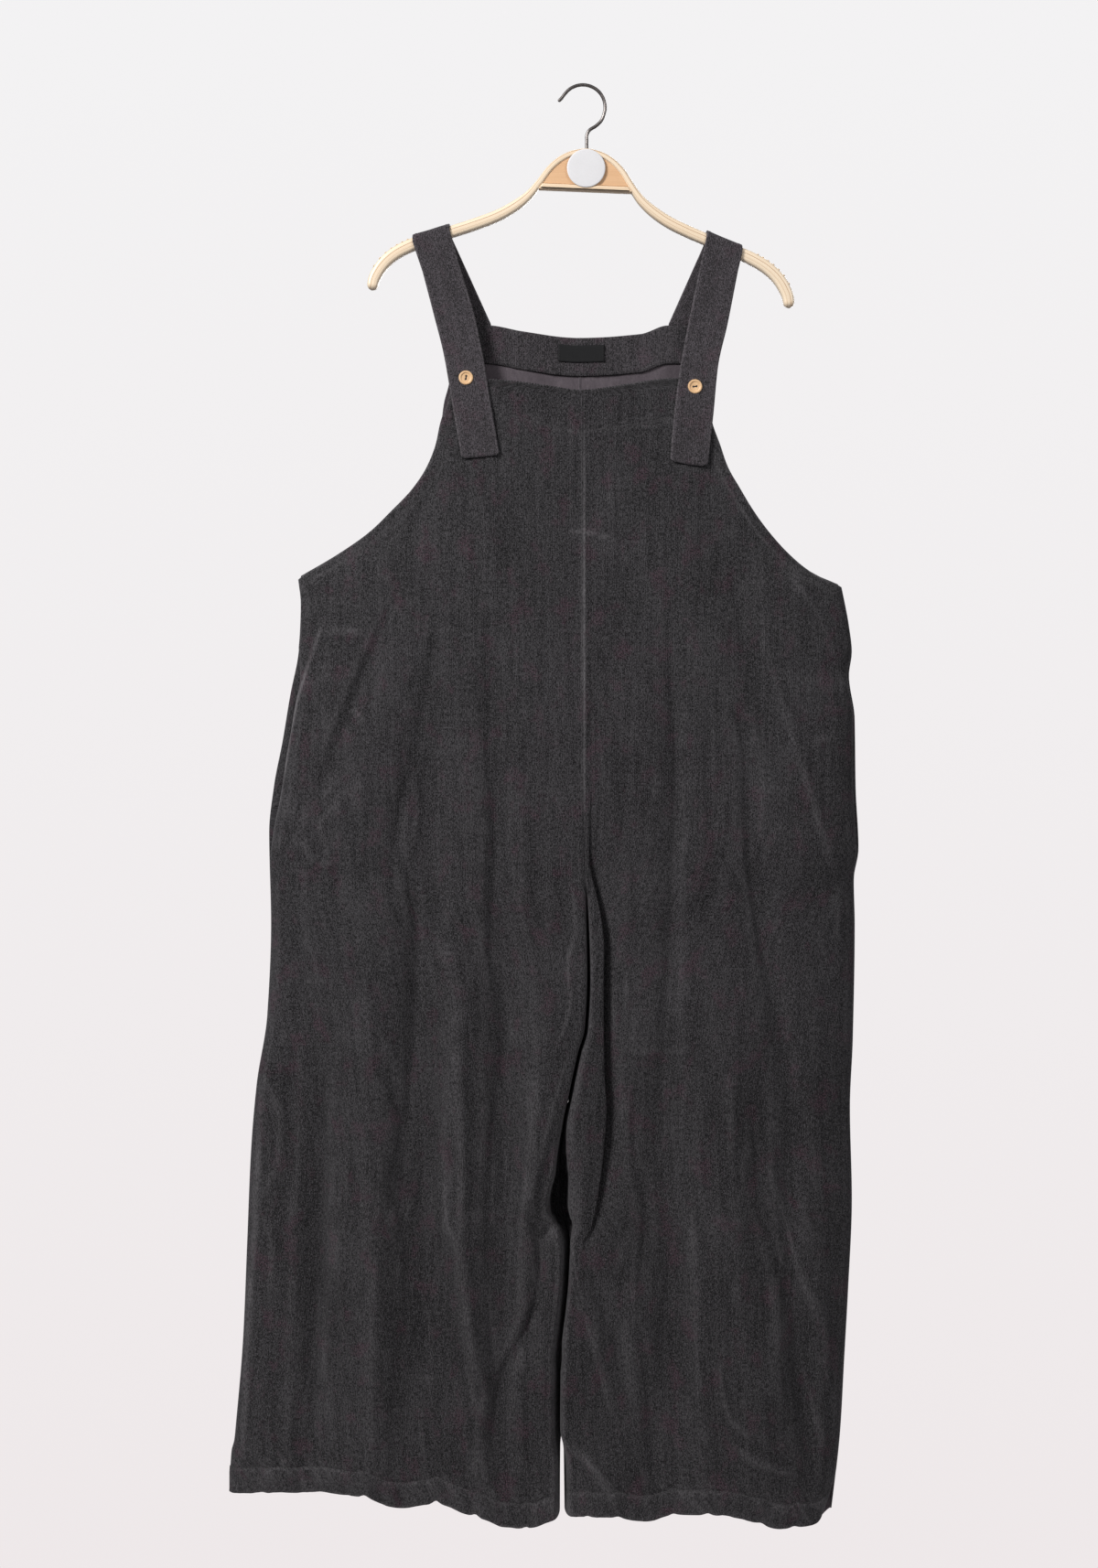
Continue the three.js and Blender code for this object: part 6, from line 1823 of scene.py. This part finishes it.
# Pocket bags: reach from the side and height of each rim point
BAG_RIM = [(34, -575), (62, -570), (86, -588), (96, -630), (97, -690), (95, -740), (86, -782), (64, -812),
           (42, -818), (28, -806)]
BAG = 1.0
MOUTH = {LEFT: (-560, -808), RIGHT: (-590, -832)}
BAG_SHARES = np.array([0, 0.06, 0.12, 0.18, 0.24, 0.3, 0.36, 0.48, 0.6, 0.72, 0.84, 0.94, 0.985])


def pocket_bag(side):
    """A flat pouch inside the side seam. Its back layer shows beside the edge of the front."""
    drop = 30 if side == RIGHT else 0
    rim = catmull(BAG_RIM, 5)
    rows = []
    for i, (reach, rim_z) in enumerate(rim):
        along = i / (len(rim) - 1)
        mouth_z = mix(*MOUTH[side], along)
        outline = float(outline_x(side, BACK, np.array(mouth_z)))
        rim_x = outline - side * reach
        front_inset = float(mouth_inset[side](min(mouth_z, MOUTH_TOP[side]))) + 1.2
        front_x = outline - side * front_inset
        edge = max(float(free_edge[side](mouth_z)), 1.2)
        front_y = -max(edge - CLOTH / 2 - BAG / 2 - 0.3, 0.8)
        back_y = -max(edge - 3.4, 0.7)
        swell = 3.5 * math.sin(math.pi * along)
        row = []
        for share in BAG_SHARES:
            y = front_y - swell * math.sin(math.pi * share) * 0.4
            row.append((mix(front_x, rim_x, share), y, mix(mouth_z, rim_z - drop, share)))
        row.append((rim_x, (front_y + back_y) / 2, rim_z - drop))
        for share in BAG_SHARES[::-1]:
            x = mix(outline + side * 0.1, rim_x, share)
            rise = float(smooth(0, 7, abs(outline - x)))
            y = mix(-0.9, back_y, rise) + swell * math.sin(math.pi * share) * rise
            row.append((x, min(y, -0.7), mix(mouth_z, rim_z - drop, share)))
        rows.append(row)
    points = np.array(rows)
    uv = np.stack([arc_lengths(points, 1), arc_lengths(points, 0)], axis=2)
    name = SIDE_NAMES[side]
    thing = sheet_object(f"pocket_cloth_{name}", points, BAG, [cord, cord], uv)
    tidy_normals(thing)
    declare(thing, "needlecord", f"pocket_bag_{name}")
    return thing


bags = {side: pocket_bag(side) for side in SIDE_NAMES}

# Studio: camera level with the middle of the picture, soft key light from the upper left
CAMERA_DISTANCE = 3.0
FRAME_HEIGHT = 1.6369
camera_data = bpy.data.cameras.new("camera")
camera_data.sensor_width = 36
camera_data.lens = 36 * CAMERA_DISTANCE / FRAME_HEIGHT
camera = bpy.data.objects.new("camera", camera_data)
camera.location = (-0.0315, -CAMERA_DISTANCE, -0.7277)
camera.rotation_euler = (math.radians(90), 0, 0)
bpy.context.scene.collection.objects.link(camera)
bpy.context.scene.camera = camera


def soft_light(name, place, aim, size, power, colour=(1, 1, 1)):
    data = bpy.data.lights.new(name, "AREA")
    data.shape = "RECTANGLE"
    data.size, data.size_y = size
    data.energy = power
    data.color = colour
    light = bpy.data.objects.new(name, data)
    light.location = place
    direction = np.array(aim) - np.array(place)
    light.rotation_euler = Vector(direction).to_track_quat("-Z", "Y").to_euler()
    bpy.context.scene.collection.objects.link(light)


soft_light("key", (-2.3, -2.2, 1.3), (0, 0, -0.6), (1.0, 1.2), 152)
soft_light("fill", (2.3, -2.8, 0.9), (0, 0, -0.6), (1.6, 1.6), 42)
soft_light("rear", (0.8, 2.4, 0.4), (0, 0, -0.8), (1.8, 1.8), 50)

world = bpy.data.worlds.new("studio")
bpy.context.scene.world = world
world.use_nodes = True
tree = world.node_tree
background = tree.nodes["Background"]
seen = tree.nodes.new("ShaderNodeBackground")
switch = tree.nodes.new("ShaderNodeMixShader")
path = tree.nodes.new("ShaderNodeLightPath")
background.inputs["Color"].default_value = (0.95, 0.95, 1.0, 1)
background.inputs["Strength"].default_value = 0.22
# The camera sees a painted wall, a little darker and pinker towards the bottom as painted shade; lighting
# comes from the plainer, dimmer background.
direction = tree.nodes.new("ShaderNodeTexCoord")
parts = tree.nodes.new("ShaderNodeSeparateXYZ")
height = tree.nodes.new("ShaderNodeMapRange")
painted_wall = tree.nodes.new("ShaderNodeMix")
painted_wall.data_type = "RGBA"
WALL_SHADE_LOW, WALL_SHADE_HIGH = -0.28, 0.25
height.inputs["From Min"].default_value = WALL_SHADE_LOW
height.inputs["From Max"].default_value = WALL_SHADE_HIGH
painted_wall.inputs[6].default_value = rgb(238, 232, 233)
painted_wall.inputs[7].default_value = rgb(243, 242, 243)
tree.links.new(direction.outputs["Generated"], parts.inputs[0])
tree.links.new(parts.outputs[2], height.inputs["Value"])
tree.links.new(height.outputs[0], painted_wall.inputs[0])
tree.links.new(painted_wall.outputs[2], seen.inputs["Color"])
tree.links.new(path.outputs["Is Camera Ray"], switch.inputs[0])
tree.links.new(background.outputs[0], switch.inputs[1])
tree.links.new(seen.outputs[0], switch.inputs[2])
tree.links.new(switch.outputs[0], tree.nodes["World Output"].inputs["Surface"])
bpy.context.scene.view_settings.view_transform = "Standard"

FLOOR_HEIGHT = -1.75
FLOOR_RADIUS = 0.75
FLOOR_SIDES = 96
floor_points = []
for angle_ in np.linspace(0, 2 * np.pi, FLOOR_SIDES + 1)[:-1]:
    floor_points.append((FLOOR_RADIUS * math.cos(angle_) * 1000, FLOOR_RADIUS * math.sin(angle_) * 1000, 0))
floor = make_object("floor", floor_points, [list(range(FLOOR_SIDES))], [floor_look("floor")], False)
floor.location = (-0.03, 0, FLOOR_HEIGHT)
